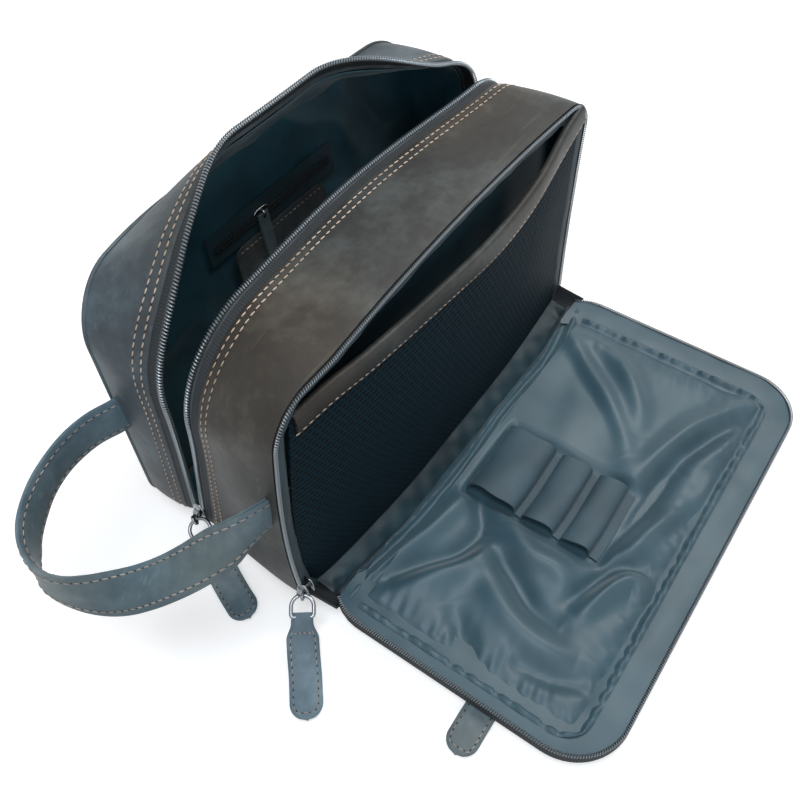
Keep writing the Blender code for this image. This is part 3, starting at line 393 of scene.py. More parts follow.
def smooth_route(points, count):
    """A rounded curve through the points (Catmull-Rom), at even steps."""
    p = np.asarray(points, float)
    p = np.vstack([2 * p[0] - p[1], p, 2 * p[-1] - p[-2]])
    out = []
    t = np.linspace(0, 1, 16, endpoint=False)[:, None]
    for a, b, c, d in zip(p, p[1:], p[2:], p[3:]):
        cubic = (3 * b - a - 3 * c + d) * t**3
        out.append(0.5 * (2 * b + (c - a) * t + (2 * a - 5 * b + 4 * c - d) * t**2 + cubic))
    out.append(p[-2][None])
    return resample(np.concatenate(out), 1.0, count=count)


def frames_along(path, normals, closed=False):
    """Tangent, square-on normal and side direction at each point of a path."""
    ahead = np.roll(path, -1, axis=0) - np.roll(path, 1, axis=0) if closed else np.gradient(path, axis=0)
    t = unit(ahead)
    n = unit(normals - t * np.sum(normals * t, axis=1, keepdims=True))
    return t, n, np.cross(t, n)


def circle(radius, sides):
    """A circle as (side, height) pairs."""
    t = np.arange(sides) * 2 * math.pi / sides
    return np.stack([radius * np.cos(t), radius * np.sin(t)], axis=1)


def sweep(name, path, normals, profile, material, closed=False):
    """A profile of (side, height) pairs carried along a path; an open path gets flat ends."""
    path = np.asarray(path, float)
    _, n, b = frames_along(path, np.broadcast_to(normals, path.shape), closed)
    p = path[:, None] + b[:, None] * profile[None, :, :1] + n[:, None] * profile[None, :, 1:]
    rows, sides = p.shape[:2]
    r, s = np.meshgrid(np.arange(rows if closed else rows - 1), np.arange(sides), indexing="ij")
    following, right = (r + 1) % rows, (s + 1) % sides
    quads = [r * sides + s, following * sides + s, following * sides + right, r * sides + right]
    faces = np.stack(quads, axis=-1).reshape(-1, 4).tolist()
    if not closed:
        faces.append(list(range(sides)))
        faces.append(list(range((rows - 1) * sides, rows * sides))[::-1])
    uv = np.stack(np.broadcast_arrays(run_of(path)[:, None] * MM, np.linspace(0, MM, sides)[None]), axis=-1)
    return check_outward(set_mesh(name, world(p.reshape(-1, 3)), faces, material, uv.reshape(-1, 2)))


def coil(name, path, normals, radius=1.15, pitch=1.45, wire=0.42, material=COIL):
    """A zip's coil: a wire wound round the path, one turn a tooth."""
    per_turn = 8
    path, normals = resample(path, pitch / per_turn, (np.broadcast_to(normals, np.shape(path)),))
    _, n, b = frames_along(path, normals)
    angle = 2 * math.pi * np.arange(len(path))[:, None] / per_turn
    line = path + radius * (np.cos(angle) * b + 0.8 * np.sin(angle) * n)
    return sweep(name, line, unit(np.cos(angle) * b + np.sin(angle) * n), circle(wire, 4), material)


def bead(length, width, height, rings=5, sides=6):
    """A closed oval bead along X: circles that swell by the square root of a parabola, between two poles."""
    x = np.linspace(-1, 1, rings)
    r = np.sqrt(np.maximum(0.06, 1 - x**2))
    s = np.arange(sides) * 2 * math.pi / sides
    r = r[:, None] / 2
    parts = (x[:, None] * length / 2, r * np.cos(s) * width, r * np.sin(s) * height)
    p = np.stack(np.broadcast_arrays(*parts), axis=-1).reshape(-1, 3)
    last, centre = (rings - 1) * sides, rings * sides
    faces = []
    for side in range(sides):
        right = (side + 1) % sides
        faces += [(a + side, a + right, a + sides + right, a + sides + side) for a in range(0, last, sides)]
        faces += [(centre, right, side), (centre + 1, last + side, last + right)]
    return np.vstack([p, [[-length / 2, 0, 0], [length / 2, 0, 0]]]), faces


def set_copies(name, shape, centres, t, n, b, material):
    """One mesh of many small closed shapes, each placed by its own three directions."""
    template, faces = shape
    x, y, z = (template[None, :, i : i + 1] for i in range(3))
    p = centres[:, None] + x * t[:, None] + y * b[:, None] + z * n[:, None]
    every = [[v + len(template) * i for v in face] for i in range(len(centres)) for face in faces]
    return check_outward(set_mesh(name, world(p.reshape(-1, 3)), every, material))


def stitches(name, path, normals, material=THREAD, pitch=3.9, length=2.7, width=0.8, lift=0.12):
    """A row of sewn stitches, each a slanted bead sunk at its ends, and between them flat dark beads that
    paint the shade in the needle holes.
    """
    path, normals = resample(path, pitch, (np.broadcast_to(normals, path.shape),))
    t, n, b = frames_along(path, normals)
    slanted = unit(t + b * 0.12)
    sewn = bead(length, width, 0.55)
    made = set_copies(name, sewn, path + n * lift, slanted, n, np.cross(n, slanted), material)
    middle = (path[1:] + path[:-1]) / 2
    t, n, b = frames_along(middle, unit(normals[1:] + normals[:-1]))
    holes = set_copies(name + "_hole_shade", bead(0.9, 0.7, 0.25, 3), middle + n * 0.04, t, n, b, NEEDLE_HOLE_SHADE)
    return [made, holes]


def ride_all(pieces, body):
    """Every piece moves with the body."""
    for piece in pieces:
        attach(piece, body)


def blend_all(pieces, *ends):
    """Every piece's placement is baked into its mesh, where it stays."""
    for piece in pieces:
        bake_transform(piece)


def cloth(made):
    return made


def waves(p, spans, seed):
    """A slow field over points, about -1 to 1: sines of a few lengths along random headings."""
    rng = np.random.default_rng(seed)
    total = np.zeros(p.shape[:-1])
    for span in spans:
        for _ in range(3):
            heading = unit(rng.normal(size=3))
            total += np.sin(2 * math.pi * (p @ heading) / span + rng.uniform(0, 6.3)) * rng.uniform(0.4, 1)
    return total / (2.1 * len(spans))


def creases(p, spans, seed):
    """0 to 1, with narrow soft ridges where the slow field crosses zero."""
    return np.maximum(0, 1 - 1.6 * np.abs(waves(p, spans, seed))) ** 2


def ripple(p, n, height, spans, seed):
    """Points moved along their normals by the slow field, for hand-sewn unevenness."""
    return p + n * (waves(p, spans, seed) * height / 2)[..., None]


def arch_side(inset, radius):
    """The left side of the outline as (x, z): foot arc tucked under, straight side and corner arc."""
    half = LENGTH / 2
    foot = np.radians(np.linspace(252, 180, 10))
    low = np.stack([np.cos(foot), np.sin(foot)], axis=1)
    low = (FOOT_RADIUS - half, FOOT_RADIUS) + (FOOT_RADIUS - inset) * low
    side_z = np.linspace(FOOT_RADIUS, HEIGHT - radius, 26)[1:-1]
    side = np.stack([np.full(len(side_z), inset - half), side_z], axis=1)
    turn = np.radians(np.linspace(180, 90, 20))
    bend = np.stack([np.cos(turn), np.sin(turn)], axis=1)
    return np.concatenate([low, side, (radius - half, HEIGHT - radius) + (radius - inset) * bend])


def arch(inset, radii):
    """The bag's end-on outline as (x, z): left foot, side and corner, the top, and down the right side."""
    left, right = (arch_side(inset, radius) for radius in radii)
    top_x = np.linspace(left[-1, 0], -right[-1, 0], 66)[1:-1]
    top = np.stack([top_x, np.full(len(top_x), HEIGHT - inset)], axis=1)
    return np.concatenate([left, top, right[::-1] * (-1, 1)])


def zip_depth(x, z):
    """How far back the front half's main coil runs: further at the top's middle and down the ends."""
    down = HEIGHT - ZIP_RADII[0] - 4 - z
    drop = (down + np.sqrt(down**2 + 15**2)) / 2
    return 52 + 0.175 * drop + 7 * np.maximum(0, 1 - (x / 110) ** 2) ** 2


def back_y(x, z):
    """The open back panel: it bulges backwards towards the top of its middle."""
    beyond = np.maximum(0, np.abs(x - 15) - 65)
    return DEPTH + BULGE * np.maximum(0, 1 - (beyond / 85) ** 2) * z / HEIGHT


def at_depth(outline, depth):
    """Points of an (x, z) outline at one depth, or at one for each."""
    return np.stack([outline[:, 0], np.broadcast_to(depth, len(outline)), outline[:, 1]], axis=1)


def turn_x(p, pivot, degrees):
    """Points turned about a line along X; degrees may differ from point to point."""
    a = np.radians(degrees)
    y, z = p[..., 1] - pivot[0], p[..., 2] - pivot[1]
    turned = (pivot[0] + y * np.cos(a) - z * np.sin(a), pivot[1] + y * np.sin(a) + z * np.cos(a))
    return np.stack([p[..., 0], *turned], axis=-1)


def opened(p):
    """Where the closed back half's points lie with the mouth open: turned a little, and the top folded."""
    p = turn_x(p, MOUTH_PIVOT, -MOUTH_DEG)
    share = 1 - smooth((np.abs(p[..., 0] - FOLD_MIDDLE) - FOLD_FULL) / (FOLD_NONE - FOLD_FULL))
    return turn_x(p, TOP_PIVOT, -TOP_FOLD_DEG * share)


def loft(first, last, rows):
    """A grid of straight lines from the first row of points to the last."""
    v = np.linspace(0, 1, rows)[:, None, None]
    return first[None] * (1 - v) + last[None] * v


OFF_FLOOR = 0.6


def swollen(p, n, puff):
    """A grid that swells along its normals between its first and last row, by the sine of the way across."""
    swelled = p + n * puff * np.sin(math.pi * np.linspace(0, 1, len(p)))[:, None, None] ** 0.8
    swelled[..., 2] = np.maximum(swelled[..., 2], OFF_FLOOR)
    return swelled


def hemmed(p, n):
    """A band with its last row's edge turned under: two more rows, rolled over towards the inside."""
    over = unit(p[-1] - p[-2])
    turned = [p[-1] + over * 0.5 - n[-1] * 0.35, p[-1] + over * 0.6 - n[-1] * 1.1]
    return np.concatenate([p, np.stack(turned)]), np.concatenate([n, n[-1:], n[-1:]])


def row_at(p, n, distance_mm):
    """The row at a distance from a grid's last row, with its normals."""
    both = np.concatenate([p, n], axis=-1)[::-1]
    run = run_of(both[..., :3])
    columns = range(both.shape[1])
    row = [[np.interp(distance_mm, run[:, c], both[:, c, i]) for i in range(6)] for c in columns]
    row = np.array(row)
    return row[:, :3], unit(row[:, 3:])


def zip_side(prefix, edge, n, teeth):
    """One side of an open zip: the tape from under the leather's edge, its sewn cord and its coil."""
    under = edge + (edge - teeth) * 0.7 - n * (LEATHER + 0.7)
    lip = edge - n * LEATHER * 0.6
    p = np.concatenate([loft(under, lip, 4), loft(lip, teeth - n * 0.5, 7)[1:]])
    tape = skin(prefix + "_tape", p, normals_of(p, BAG_CENTRE), 0.6, TAPE_DARK, 0.5)
    line = resample(teeth * 0.7 + edge * 0.3 - n * 0.45, 2.0)
    cord = sweep(prefix + "_cord", line, (0.03, 0.9, 0.4), circle(0.5, 6), CORD)
    return [tape, cord, coil(prefix + "_coil", teeth, n)]


def sewn_rows(name, rows, *sizes):
    """Stitches along each of the rows, given as points and normals."""
    return [piece for i, row in enumerate(rows) for piece in stitches(f"{name}_{i}", *row, *sizes)]


def edge_rows(name, p, n):
    """The two rows of stitches along a band's edge."""
    return sewn_rows(name, [row_at(p, n, distance) for distance in STITCH_ROWS])


def lined(name, p, n, depth, spans, seed, node):
    """A lining inside a leather grid: the same rows, set in behind the leather by its creases."""
    loose = np.sin(math.pi * np.linspace(0.04, 0.96, len(p)))[:, None] ** 0.4
    inner = p - n * (LEATHER + 0.7 + depth * creases(p, spans, seed) * loose)[..., None]
    made = skin(name, inner, n, CLOTH, LINING_DARK)
    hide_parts(*node)
    return cloth(made)


def build_front_band():
    """The leather band over the front half's ends and top, its two stitch rows, lining and zip side."""
    line = arch(0, ZIP_RADII)
    depth = zip_depth(line[:, 0], line[:, 1])
    p = relaxed(loft(at_depth(arch(0, RIM_RADII), 0.7), at_depth(line, depth - TAPE_SHOWING), BAND_ROWS))
    n = normals_of(p, BAG_CENTRE)
    p = swollen(ripple(p, n, 0.5, (80, 47), 3), n, 1.4)
    n = normals_of(p, BAG_CENTRE)
    band = skin("front_leather_band", *hemmed(p, n), LEATHER, LEATHER_FRONT)
    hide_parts("front_band")
    pieces = [band] + edge_rows("front_band_stitches", p, n)
    side = zip_side("main_zip_front", p[-1], n[-1], at_depth(arch(TEETH_INSET, ZIP_RADII), depth))
    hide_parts("main_zip_tape_front")
    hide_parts("main_zip_coil_front")
    inside = lined("front_half_lining", p, n, 2.6, (74, 40), 8, ["front_band_lining"])
    ride_all(pieces + side + [inside], "front_half")


def build_back_band():
    """The back half's leather band in a left and a right piece, with its stitches, zip side and lining."""
    outline, line = arch(0, BACK_RADII), arch(0, ZIP_RADII)
    seam = at_depth(outline, back_y(outline[:, 0], outline[:, 1]))
    depth = zip_depth(line[:, 0], line[:, 1]) + COILS_APART
    teeth = opened(at_depth(arch(TEETH_INSET, ZIP_RADII), depth))
    p = loft(seam, opened(at_depth(line, depth + TAPE_SHOWING)), BAND_ROWS)
    n = normals_of(p, BAG_CENTRE)
    p = swollen(ripple(p, n, 0.4, (80, 50), 5), n, 1.2)
    n = normals_of(p, BAG_CENTRE)
    middle = len(outline) // 2
    top = ["back_top_band", "back_top_tape", "back_top_coil", "back_top_lining"]
    for side, part, ends, nodes in (
        ("left", slice(0, middle + 1), (-128, -33), top),
        ("right", slice(middle, len(outline)), (112, 17), []),
    ):
        q, m = p[:, part], n[:, part]
        band = skin("back_leather_band_" + side, *hemmed(q, m), LEATHER, LEATHER_BACK)
        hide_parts("back_band_" + side, *nodes[:1])
        sewn = edge_rows("back_band_stitches_" + side, q, m)
        tape, cord, teeth_coil = zip_side("main_zip_" + side, q[-1], m[-1], teeth[part])
        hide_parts("main_zip_tape_" + side, *nodes[1:2])
        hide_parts("main_zip_coil_" + side, *nodes[2:3])
        lining = ["back_lining_" + side, *nodes[3:4]]
        inside = lined("back_band_lining_" + side, q, m, 2.4, (60, 33), 9, lining)
        where = [(x * MM, (TOP_PIVOT[0] + FRONT_Y) * MM, TOP_PIVOT[1] * MM) for x in ends]
        blend_all([band, *sewn, tape, cord, teeth_coil, inside], "back_half", "back_top", *where)


def panel_grid(inset, radii, depth_of, rows=56, columns=91):
    """A panel inside the arch: rows from the foot to the top, each from the left side to the right."""
    t = np.linspace(0, 1, rows)
    z = 0.8 + inset + (HEIGHT - 0.8 - 2 * inset) * (1 - (1 - t) ** 1.6)
    foot = np.sqrt(np.maximum(0, (FOOT_RADIUS - inset) ** 2 - np.maximum(0, FOOT_RADIUS - z) ** 2))
    edges = []
    for radius in radii:
        top = np.sqrt(np.maximum(0, (radius - inset) ** 2 - np.maximum(0, z - (HEIGHT - radius)) ** 2))
        edges.append(LENGTH / 2 - np.where(z < FOOT_RADIUS, FOOT_RADIUS - foot, radius - top))
    share = np.linspace(0, 1, columns)[None]
    x = -edges[0][:, None] * (1 - share) + edges[1][:, None] * share
    z = np.broadcast_to(z[:, None], x.shape)
    return np.stack([x, depth_of(x, z), z], axis=-1)


def build_back_panel():
    """The plain leather back, its seam bead and the creased lining of the back wall."""
    p = panel_grid(-0.3, BACK_RADII, lambda x, z: back_y(x, z) + 1.2)
    n = normals_of(p, along=(0, 1, 0))
    p = ripple(p, n, 0.8, (90, 51), 11)
    panel = skin("back_leather_panel", p, n, LEATHER, LEATHER_BACK)
    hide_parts("back_panel")
    outline = arch(0.4, BACK_RADII)
    seam = resample(at_depth(outline, back_y(outline[:, 0], outline[:, 1]) + 0.8), 3.0)
    welt = sweep("back_seam_bead", seam, (0.0, 1.0, 0.0), circle(1.2, 10), LEATHER_BACK)
    q, m = p[1:-1, 1:-1], n[1:-1, 1:-1]
    inside = lined("back_wall_lining", q, m, 3.0, (80, 44), 12, ["back_lining"])
    ride_all([panel, welt, inside], "back_half")


def rounded_rectangle(half_x, half_y, radius, steps=8):
    """A closed outline with round corners, as (x, y)."""
    out = []
    for sx, sy, start in ((1, 1, 0), (-1, 1, 90), (-1, -1, 180), (1, -1, 270)):
        t = np.radians(np.linspace(start, start + 90, steps))
        corner = (sx * (half_x - radius), sy * (half_y - radius))
        out.append(corner + radius * np.stack([np.cos(t), np.sin(t)], axis=1))
    return np.concatenate(out)


def plate(name, outline, low, high, material, round_edge, centre=(0, 0)):
    """A flat plate from an outline: rings of it, drawn in a little at the two faces."""
    middle = outline.mean(axis=0)
    rings = []
    for z, draw in ((low, round_edge), (low + round_edge, 0), (high - round_edge, 0), (high, round_edge)):
        ring = outline - unit(outline - middle) * draw + centre
        rings.append(np.concatenate([ring, np.full((len(outline), 1), z)], axis=1))
    n = len(outline)
    i = np.arange(n)
    ring = np.stack([i, (i + 1) % n, n + (i + 1) % n, n + i], axis=1)
    faces = np.concatenate([ring, ring + n, ring + 2 * n]).tolist()
    faces += [list(range(n))[::-1], list(range(3 * n, 4 * n))]
    return check_outward(set_mesh(name, world(np.concatenate(rings)), faces, material))


def build_base():
    """The base: a leather panel, and the lining over its board inside."""
    front, back = DOOR_PIVOT[0] + 2.4, DEPTH - 1.0
    outline = rounded_rectangle(115.5, (back - front) / 2, 9.0)
    base = plate("base_leather_panel", outline, 0.0, 2.2, LEATHER_BACK, 0.7, (0, (front + back) / 2))
    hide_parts("base_panel")
    floor_line = rounded_rectangle(112.0, (back - 16) / 2 - 3, 9.0)
    inner = plate("base_board_cover", floor_line, 2.5, 4.4, LINING_DARK, 0.5, (0, (back + 16) / 2))
    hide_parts("base_stiffener")
    ride_all([base, inner], "front_half")


# The mesh pocket's mouth, its binding's foot and its own foot, as the photograph shows their sag.
MESH_MOUTH = (
    (-114, 0.8, 134.2),
    (-93, -1.1, 134.3),
    (-68, -2.9, 131.5),
    (-22, -4.8, 128.3),
    (24, -4.7, 124.6),
    (68, -2.9, 127.6),
    (96, -0.8, 138.4),
    (113.5, 0.2, 142.5),
)
BINDING_FOOT = (
    (-114, 0.8, 124),
    (-93, -1.2, 125),
    (-69, -2.9, 122.4),
    (-22, -4.8, 118.6),
    (26, -4.7, 113),
    (62, -3.3, 115.5),
    (94, -1, 125.6),
    (113.8, 0.0, 133),
)
MESH_FOOT = (
    (-118, 3.5, 7),
    (-109, 0.0, 8),
    (-84, -3, 8),
    (-47, -5, 8),
    (0, -5.2, 8),
    (60, -4.2, 8),
    (115, -0.4, 7),
)


def build_mesh_pocket():
    """The mesh pocket, lofted from its foot to its mouth swelling slightly, and its rolled binding."""
    mouth, foot, hem = (smooth_route(points, 131) for points in (MESH_MOUTH, MESH_FOOT, BINDING_FOOT))
    p = loft(foot, mouth, 66)
    side = np.maximum(0, 1 - (mouth[:, 0] / 118) ** 2) ** 0.6
    p[..., 1] -= 4.5 * side * np.sin(math.pi * np.linspace(0, 1, 66))[:, None] ** 0.9
    p[..., 0] += leaning(p)
    n = normals_of(p, along=FORWARD)
    p = ripple(p, n, 0.9, (70, 41), 21)
    mesh = skin("mesh_pocket_front", p, n, 1.0, MESH)
    cloth(mesh)
    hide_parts("mesh_pocket")
    front = loft(hem, mouth, 9)
    front[..., 1] -= 1.6 + 0.5 * np.sin(math.pi * np.linspace(0, 1, 9))[:, None]
    roll = np.stack([mouth + (0, y, z) for y, z in ((-1.2, 0.9), (0.2, 1.5), (1.6, 1.0), (2.2, -0.6))])
    strip = np.concatenate([front, roll])
    binding = skin("pocket_binding", strip, normals_of(strip, (0, 8, 118)), 1.2, LEATHER_FRONT, 0.2)
    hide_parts("mesh_pocket_binding")
    row = front[0] * 0.86 + front[-1] * 0.14
    for piece in [mesh, binding] + stitches("binding_stitches", row, FORWARD, THREAD, 3.6, 2.5, 0.6, 0.42):
        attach(piece, "front_half")
        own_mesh(piece)


def build_front_opening():
    """The front compartment: divider wall, slack gusset, the rim's coil on its tape, and its facing."""
    wall = relaxed(panel_grid(3.2, (33.0, 25.0), lambda x, z: np.full(x.shape, 14.5)))
    n = normals_of(wall, along=FORWARD)
    wall = ripple(wall, n, 1.8, (60, 31), 31)
    divider = skin("divider_wall", wall, n, 1.6, LINING_DARK, 0.5)
    cloth(divider)
    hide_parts("divider_panel")
    p = relaxed(loft(at_depth(arch(11.6, RIM_RADII), 4.6), at_depth(arch(6.5, RIM_RADII), 14.4), 10))
    gusset = skin("front_gusset", p, normals_of(p, BAG_CENTRE), CLOTH, LINING_DARK, 0.5)
    cloth(gusset)
    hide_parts("front_compartment_lining")
    teeth = relaxed(at_depth(arch(COIL_INSET, RIM_RADII), RIM_COIL_Y))
    rim_coil = coil("rim_coil_body", teeth, FORWARD, *FINE_COIL)
    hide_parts("clamshell_zip_coil_body")
    lip = loft(relaxed(at_depth(arch(1.4, RIM_RADII), 4.0)), teeth + (0, 0.5, 0), 5)
    tape = skin("rim_tape_body", lip, normals_of(lip, BAG_CENTRE), 0.7, TAPE_DARK)
    t = np.linspace(0, 1, 9)
    face = relaxed(np.stack([at_depth(arch(1.8 + 10.0 * s, RIM_RADII), 0.1 + 5.0 * s**2.2) for s in t]))
    m = normals_of(face, along=FORWARD)
    face = face + m * (0.7 * creases(face, (40, 22), 35) * np.sin(math.pi * t)[:, None])[..., None]
    facing = skin("rim_facing_body", face, m, 0.6, LINING_FACING)
    cloth(facing)
    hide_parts("clamshell_zip_tape_body")
    ride_all([divider, gusset, rim_coil, tape, facing], "front_half")


DOOR_RADIUS = 28.0


def door_outline(inset, straight=24, bend=18, far_edge=60):
    """The door's edge as (x, y), from its left end at the hinge round the far edge to its right end."""
    half, far, radius = DOOR_HALF - inset, DOOR_FAR_Y + inset, DOOR_RADIUS - inset
    side_y = np.linspace(DOOR_PIVOT[0] - 1.5, far + radius, straight + 1)[:-1]
    turn = np.radians(np.linspace(180, 270, bend))
    curve = np.stack([radius - half + radius * np.cos(turn), far + radius + radius * np.sin(turn)], axis=1)
    eased = 5.0 * np.maximum(0, 1 - (side_y[0] - side_y) / 15) ** 2
    left = np.concatenate([np.stack([eased - half, side_y], axis=1), curve])
    x = np.linspace(radius - half, half - radius, far_edge + 2)[1:-1]
    return np.concatenate([left, np.stack([x, np.full(far_edge, far)], axis=1), left[::-1] * (-1, 1)])


def on_level(outline, z):
    """Points of a flat outline at a height."""
    return np.concatenate([outline, np.full((len(outline), 1), z)], axis=1)


# The door lining's long folds as the photograph shows them: height, a valley's below zero, width and route.
FOLDS = (
    (3.4, 5.0, ((92, -18), (88, -26), (70, -46), (54, -66), (36, -84), (20, -96))),
    (-2.6, 4.0, ((80, -30), (62, -52), (47, -71), (28, -89))),
    (2.4, 5.0, ((95, -30), (85, -60), (66, -80), (45, -90))),
    (3.6, 5.5, ((108, -134), (88, -124), (63, -112), (36, -104), (16, -102))),
    (-3.0, 4.5, ((84, -130), (45, -115), (14, -112), (-14, -108), (-36, -101))),
    (-3.2, 4.0, ((-104, -24), (-82, -38), (-66, -49), (-50, -51), (-38, -43), (-33, -35))),
    (2.8, 6.0, ((-100, -30), (-82, -48), (-60, -60), (-48, -58))),
    (2.4, 4.0, ((-94, -22), (-66, -30), (-46, -33), (-34, -34))),
    (-2.8, 4.0, ((-47, -54), (-57, -64), (-63, -78), (-71, -92), (-74, -108))),
    (2.6, 4.5, ((-38, -60), (-49, -76), (-49, -92), (-54, -106))),
    (-3.0, 3.6, ((-60, -106), (-40, -112), (-28, -119), (-24, -130))),
    (3.2, 4.0, ((-66, -112), (-44, -118), (-34, -126), (-40, -136))),
    (2.8, 4.5, ((-36, -114), (-6, -122), (14, -131))),
    (-2.2, 3.4, ((-14, -122), (6, -130), (22, -136))),
    (-2.2, 4.0, ((-92, -60), (-104, -76), (-113, -88))),
    (2.6, 5.5, ((-66, -62), (-78, -76), (-86, -98), (-84, -122))),
    (-2.0, 4.0, ((-100, -96), (-96, -118), (-88, -132))),
    (2.0, 5.0, ((40, -116), (58, -128), (80, -136))),
)
FOLD_RISE = 2.1
FOLD_SPREAD = 1.35
LINING_LEFT = -(DOOR_HALF - 7.0)
LINING_RIGHT = DOOR_HALF - 15.5
LINING_FAR = DOOR_FAR_Y + 14.0
LINING_NEAR = -25.0
LINING_CORNER = 15.0


def fold_heights(x, y):
    """The sum of the folds: each a bell across its route, dying away beyond the route's ends."""
    total = np.zeros(x.shape)
    for height, width, route in FOLDS:
        line = smooth_route(np.asarray(route, float), 18)
        step = np.diff(line, axis=0)
        rel = np.stack([x, y], axis=-1)[..., None, :] - line[:-1]
        t = np.clip(np.sum(rel * step, axis=-1) / np.sum(step**2, axis=-1), 0, 1)
        away = np.sum((rel - t[..., None] * step) ** 2, axis=-1)
        nearest = np.argmin(away, axis=-1)[..., None]
        share = (nearest + np.take_along_axis(t, nearest, axis=-1))[..., 0] / len(step)
        least = np.take_along_axis(away, nearest, axis=-1)[..., 0]
        along = np.sin(math.pi * (0.04 + 0.92 * share)) ** 0.7
        total += FOLD_RISE * height * along * np.exp(-least / (FOLD_SPREAD * width) ** 2)
    return total


def door_lining_grid():
    """The satin lining: rows from the hinge to the far edge, drawn in to fit the round corners.

    Its height is a low cushion, the long folds, and a raised seam with small pleats just inside its edge. It
    lies flat under the elastic."""
    share, v = np.meshgrid(np.linspace(0, 1, 271), np.linspace(0, 1, 163))
    y = LINING_NEAR + (LINING_FAR - LINING_NEAR) * v
    into = np.maximum(0, LINING_FAR + LINING_CORNER - y)
    drawn = LINING_CORNER - np.sqrt(np.maximum(0.2, LINING_CORNER**2 - into**2))
    x = (LINING_LEFT + drawn) * (1 - share) + (LINING_RIGHT - drawn) * share
    to_side, to_far = np.minimum(x - LINING_LEFT, LINING_RIGHT - x), y - LINING_FAR
    edge = np.minimum(to_side - drawn * 0.8, to_far)
    flat = np.stack([x, y, np.zeros_like(x)], axis=-1)
    far_edge = smooth((to_side - to_far) / 10 + 0.5)
    across_far = waves(flat * (1, 0.4, 1), (8, 5.5), 43)
    across_side = waves(flat * (0.4, 1, 1), (8, 5.5), 44)
    gather = across_far * far_edge + across_side * (1 - far_edge)
    seam = (1.8 + 1.0 * gather) * np.exp(-(((edge - 1.9) / 1.7) ** 2))
    pleats = (2.0 * gather + 1.2) * np.exp(-(((edge - 5.0) / 2.8) ** 2))
    run_in = 2.0 * gather * np.exp(-np.maximum(edge - 5, 0) / 8.0) * smooth(edge / 3.0)
    under_band = smooth((x + 40) / 8) * smooth((20 - x) / 8) * smooth((-28 - y) / 5) * smooth((y + 112) / 6)
    creased = 1.6 * waves(flat, (58, 37), 45) + 0.5 * waves(flat, (27, 19), 46)
    body = 1.8 * smooth(edge / 18) + creased + fold_heights(x, y)
    z = 10.0 + seam - pleats + run_in + body * smooth(edge / 8) * (1 - under_band) - 2.2 * under_band
    return np.stack([x, y, np.maximum(z, 6.6)], axis=-1)


def build_door():
    """The fold-down front: leather outside, rim, coil, satin border and the gathered satin lining."""
    leather = plate("door_leather", door_outline(0.0), 4.0, 5.5, LEATHER_FRONT, 0.5)
    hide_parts("door_panel")
    door_coil = coil("rim_coil_door", on_level(door_outline(COIL_INSET), DOOR_COIL_Z), UP, *FINE_COIL)
    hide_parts("clamshell_zip_coil_door")
    shares = np.linspace(0, 1, 5)
    wall = np.stack([on_level(door_outline(0.3 + 0.7 * t), 5.2 + (DOOR_COIL_Z - 6.1) * t) for t in shares])
    rim = skin("door_rim", wall, normals_of(wall, DOOR_CENTRE), 0.8, TAPE_DARK, 0.5)
    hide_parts("door_rim_band")
    shares = np.linspace(0, 1, 15)
    heights = DOOR_COIL_Z - 0.5 + 0.5 * np.sin(math.pi * shares) - 1.2 * shares**2
    face = np.stack([on_level(door_outline(COIL_INSET + 0.7 + 20.0 * t), z) for t, z in zip(shares, heights)])
    n = normals_of(face, along=UP)
    face = ripple(face, n, 1.0, (27, 15), 41)
    facing = skin("door_facing", face, n, 0.6, LINING_SLATE)
    cloth(facing)
    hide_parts("clamshell_zip_tape_door")
    p = door_lining_grid()
    lining = skin("door_satin_lining", p, normals_of(p, along=UP), CLOTH, LINING_SLATE)
    cloth(lining)
    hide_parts("door_lining")
    ride_all([leather, door_coil, rim, facing, lining], "front_door")


LOOP_X = (-32.0, 12.0)
LOOP_SPANS = ((28.0, 8.0), (18.0, 6.2), (16.0, 5.8))  # each loop's span and rise
LOOP_FIRST_Y = -31.0
LOOP_FOOT_Z = 9.0


def build_loops():
    """The slate band sewn down as three low arches, the strips between them sunk."""
    profile = [(LOOP_FIRST_Y + 3.5, LOOP_FOOT_Z)]
    y = LOOP_FIRST_Y
    for span, rise in LOOP_SPANS:
        for angle in np.linspace(0, math.pi, 24):
            height = LOOP_FOOT_Z + rise * math.sin(angle) ** 0.5
            profile.append((y - span * (1 - math.cos(angle)) / 2 - 0.8 * math.sin(angle), height))
        y -= span + 4.0
    profile.append((y - 1.0, LOOP_FOOT_Z))
    y, z = (column[:, None] for column in np.array(profile).T)
    x = np.linspace(*LOOP_X, 31)[None]
    lifted = 0.4 * np.sin(x / 9 + y * 0.2) * (z > 10.5)
    p = np.stack((x + 0.5 * np.sin(y * 0.3), y + 0.5 * np.sin(x / 11), z + lifted), axis=-1)
    band = skin("elastic_loop_band", p, normals_of(p, along=UP), 1.0, ELASTIC)
    cloth(band)
    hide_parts("elastic_loops")
    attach(band, "front_door")


# The folded ends of the two rims, where the zip's tape turns the corner: on the body, then on the door.
HINGE_WEBS = {
    "left": (
        ((-114, 3, 2.6), (-122, 0.4, 5.5), (-127.5, -0.6, 15)),
        ((-114, -17, 5.6), (-122.5, -16, 6.5), (-124.5, -17, 10)),
    ),
    "right": (
        ((111, 3, 2.6), (118, 0.4, 5.5), (121, -0.6, 15)),
        ((112, -17, 5.6), (121, -16, 6.5), (124, -17, 10)),
    ),
}


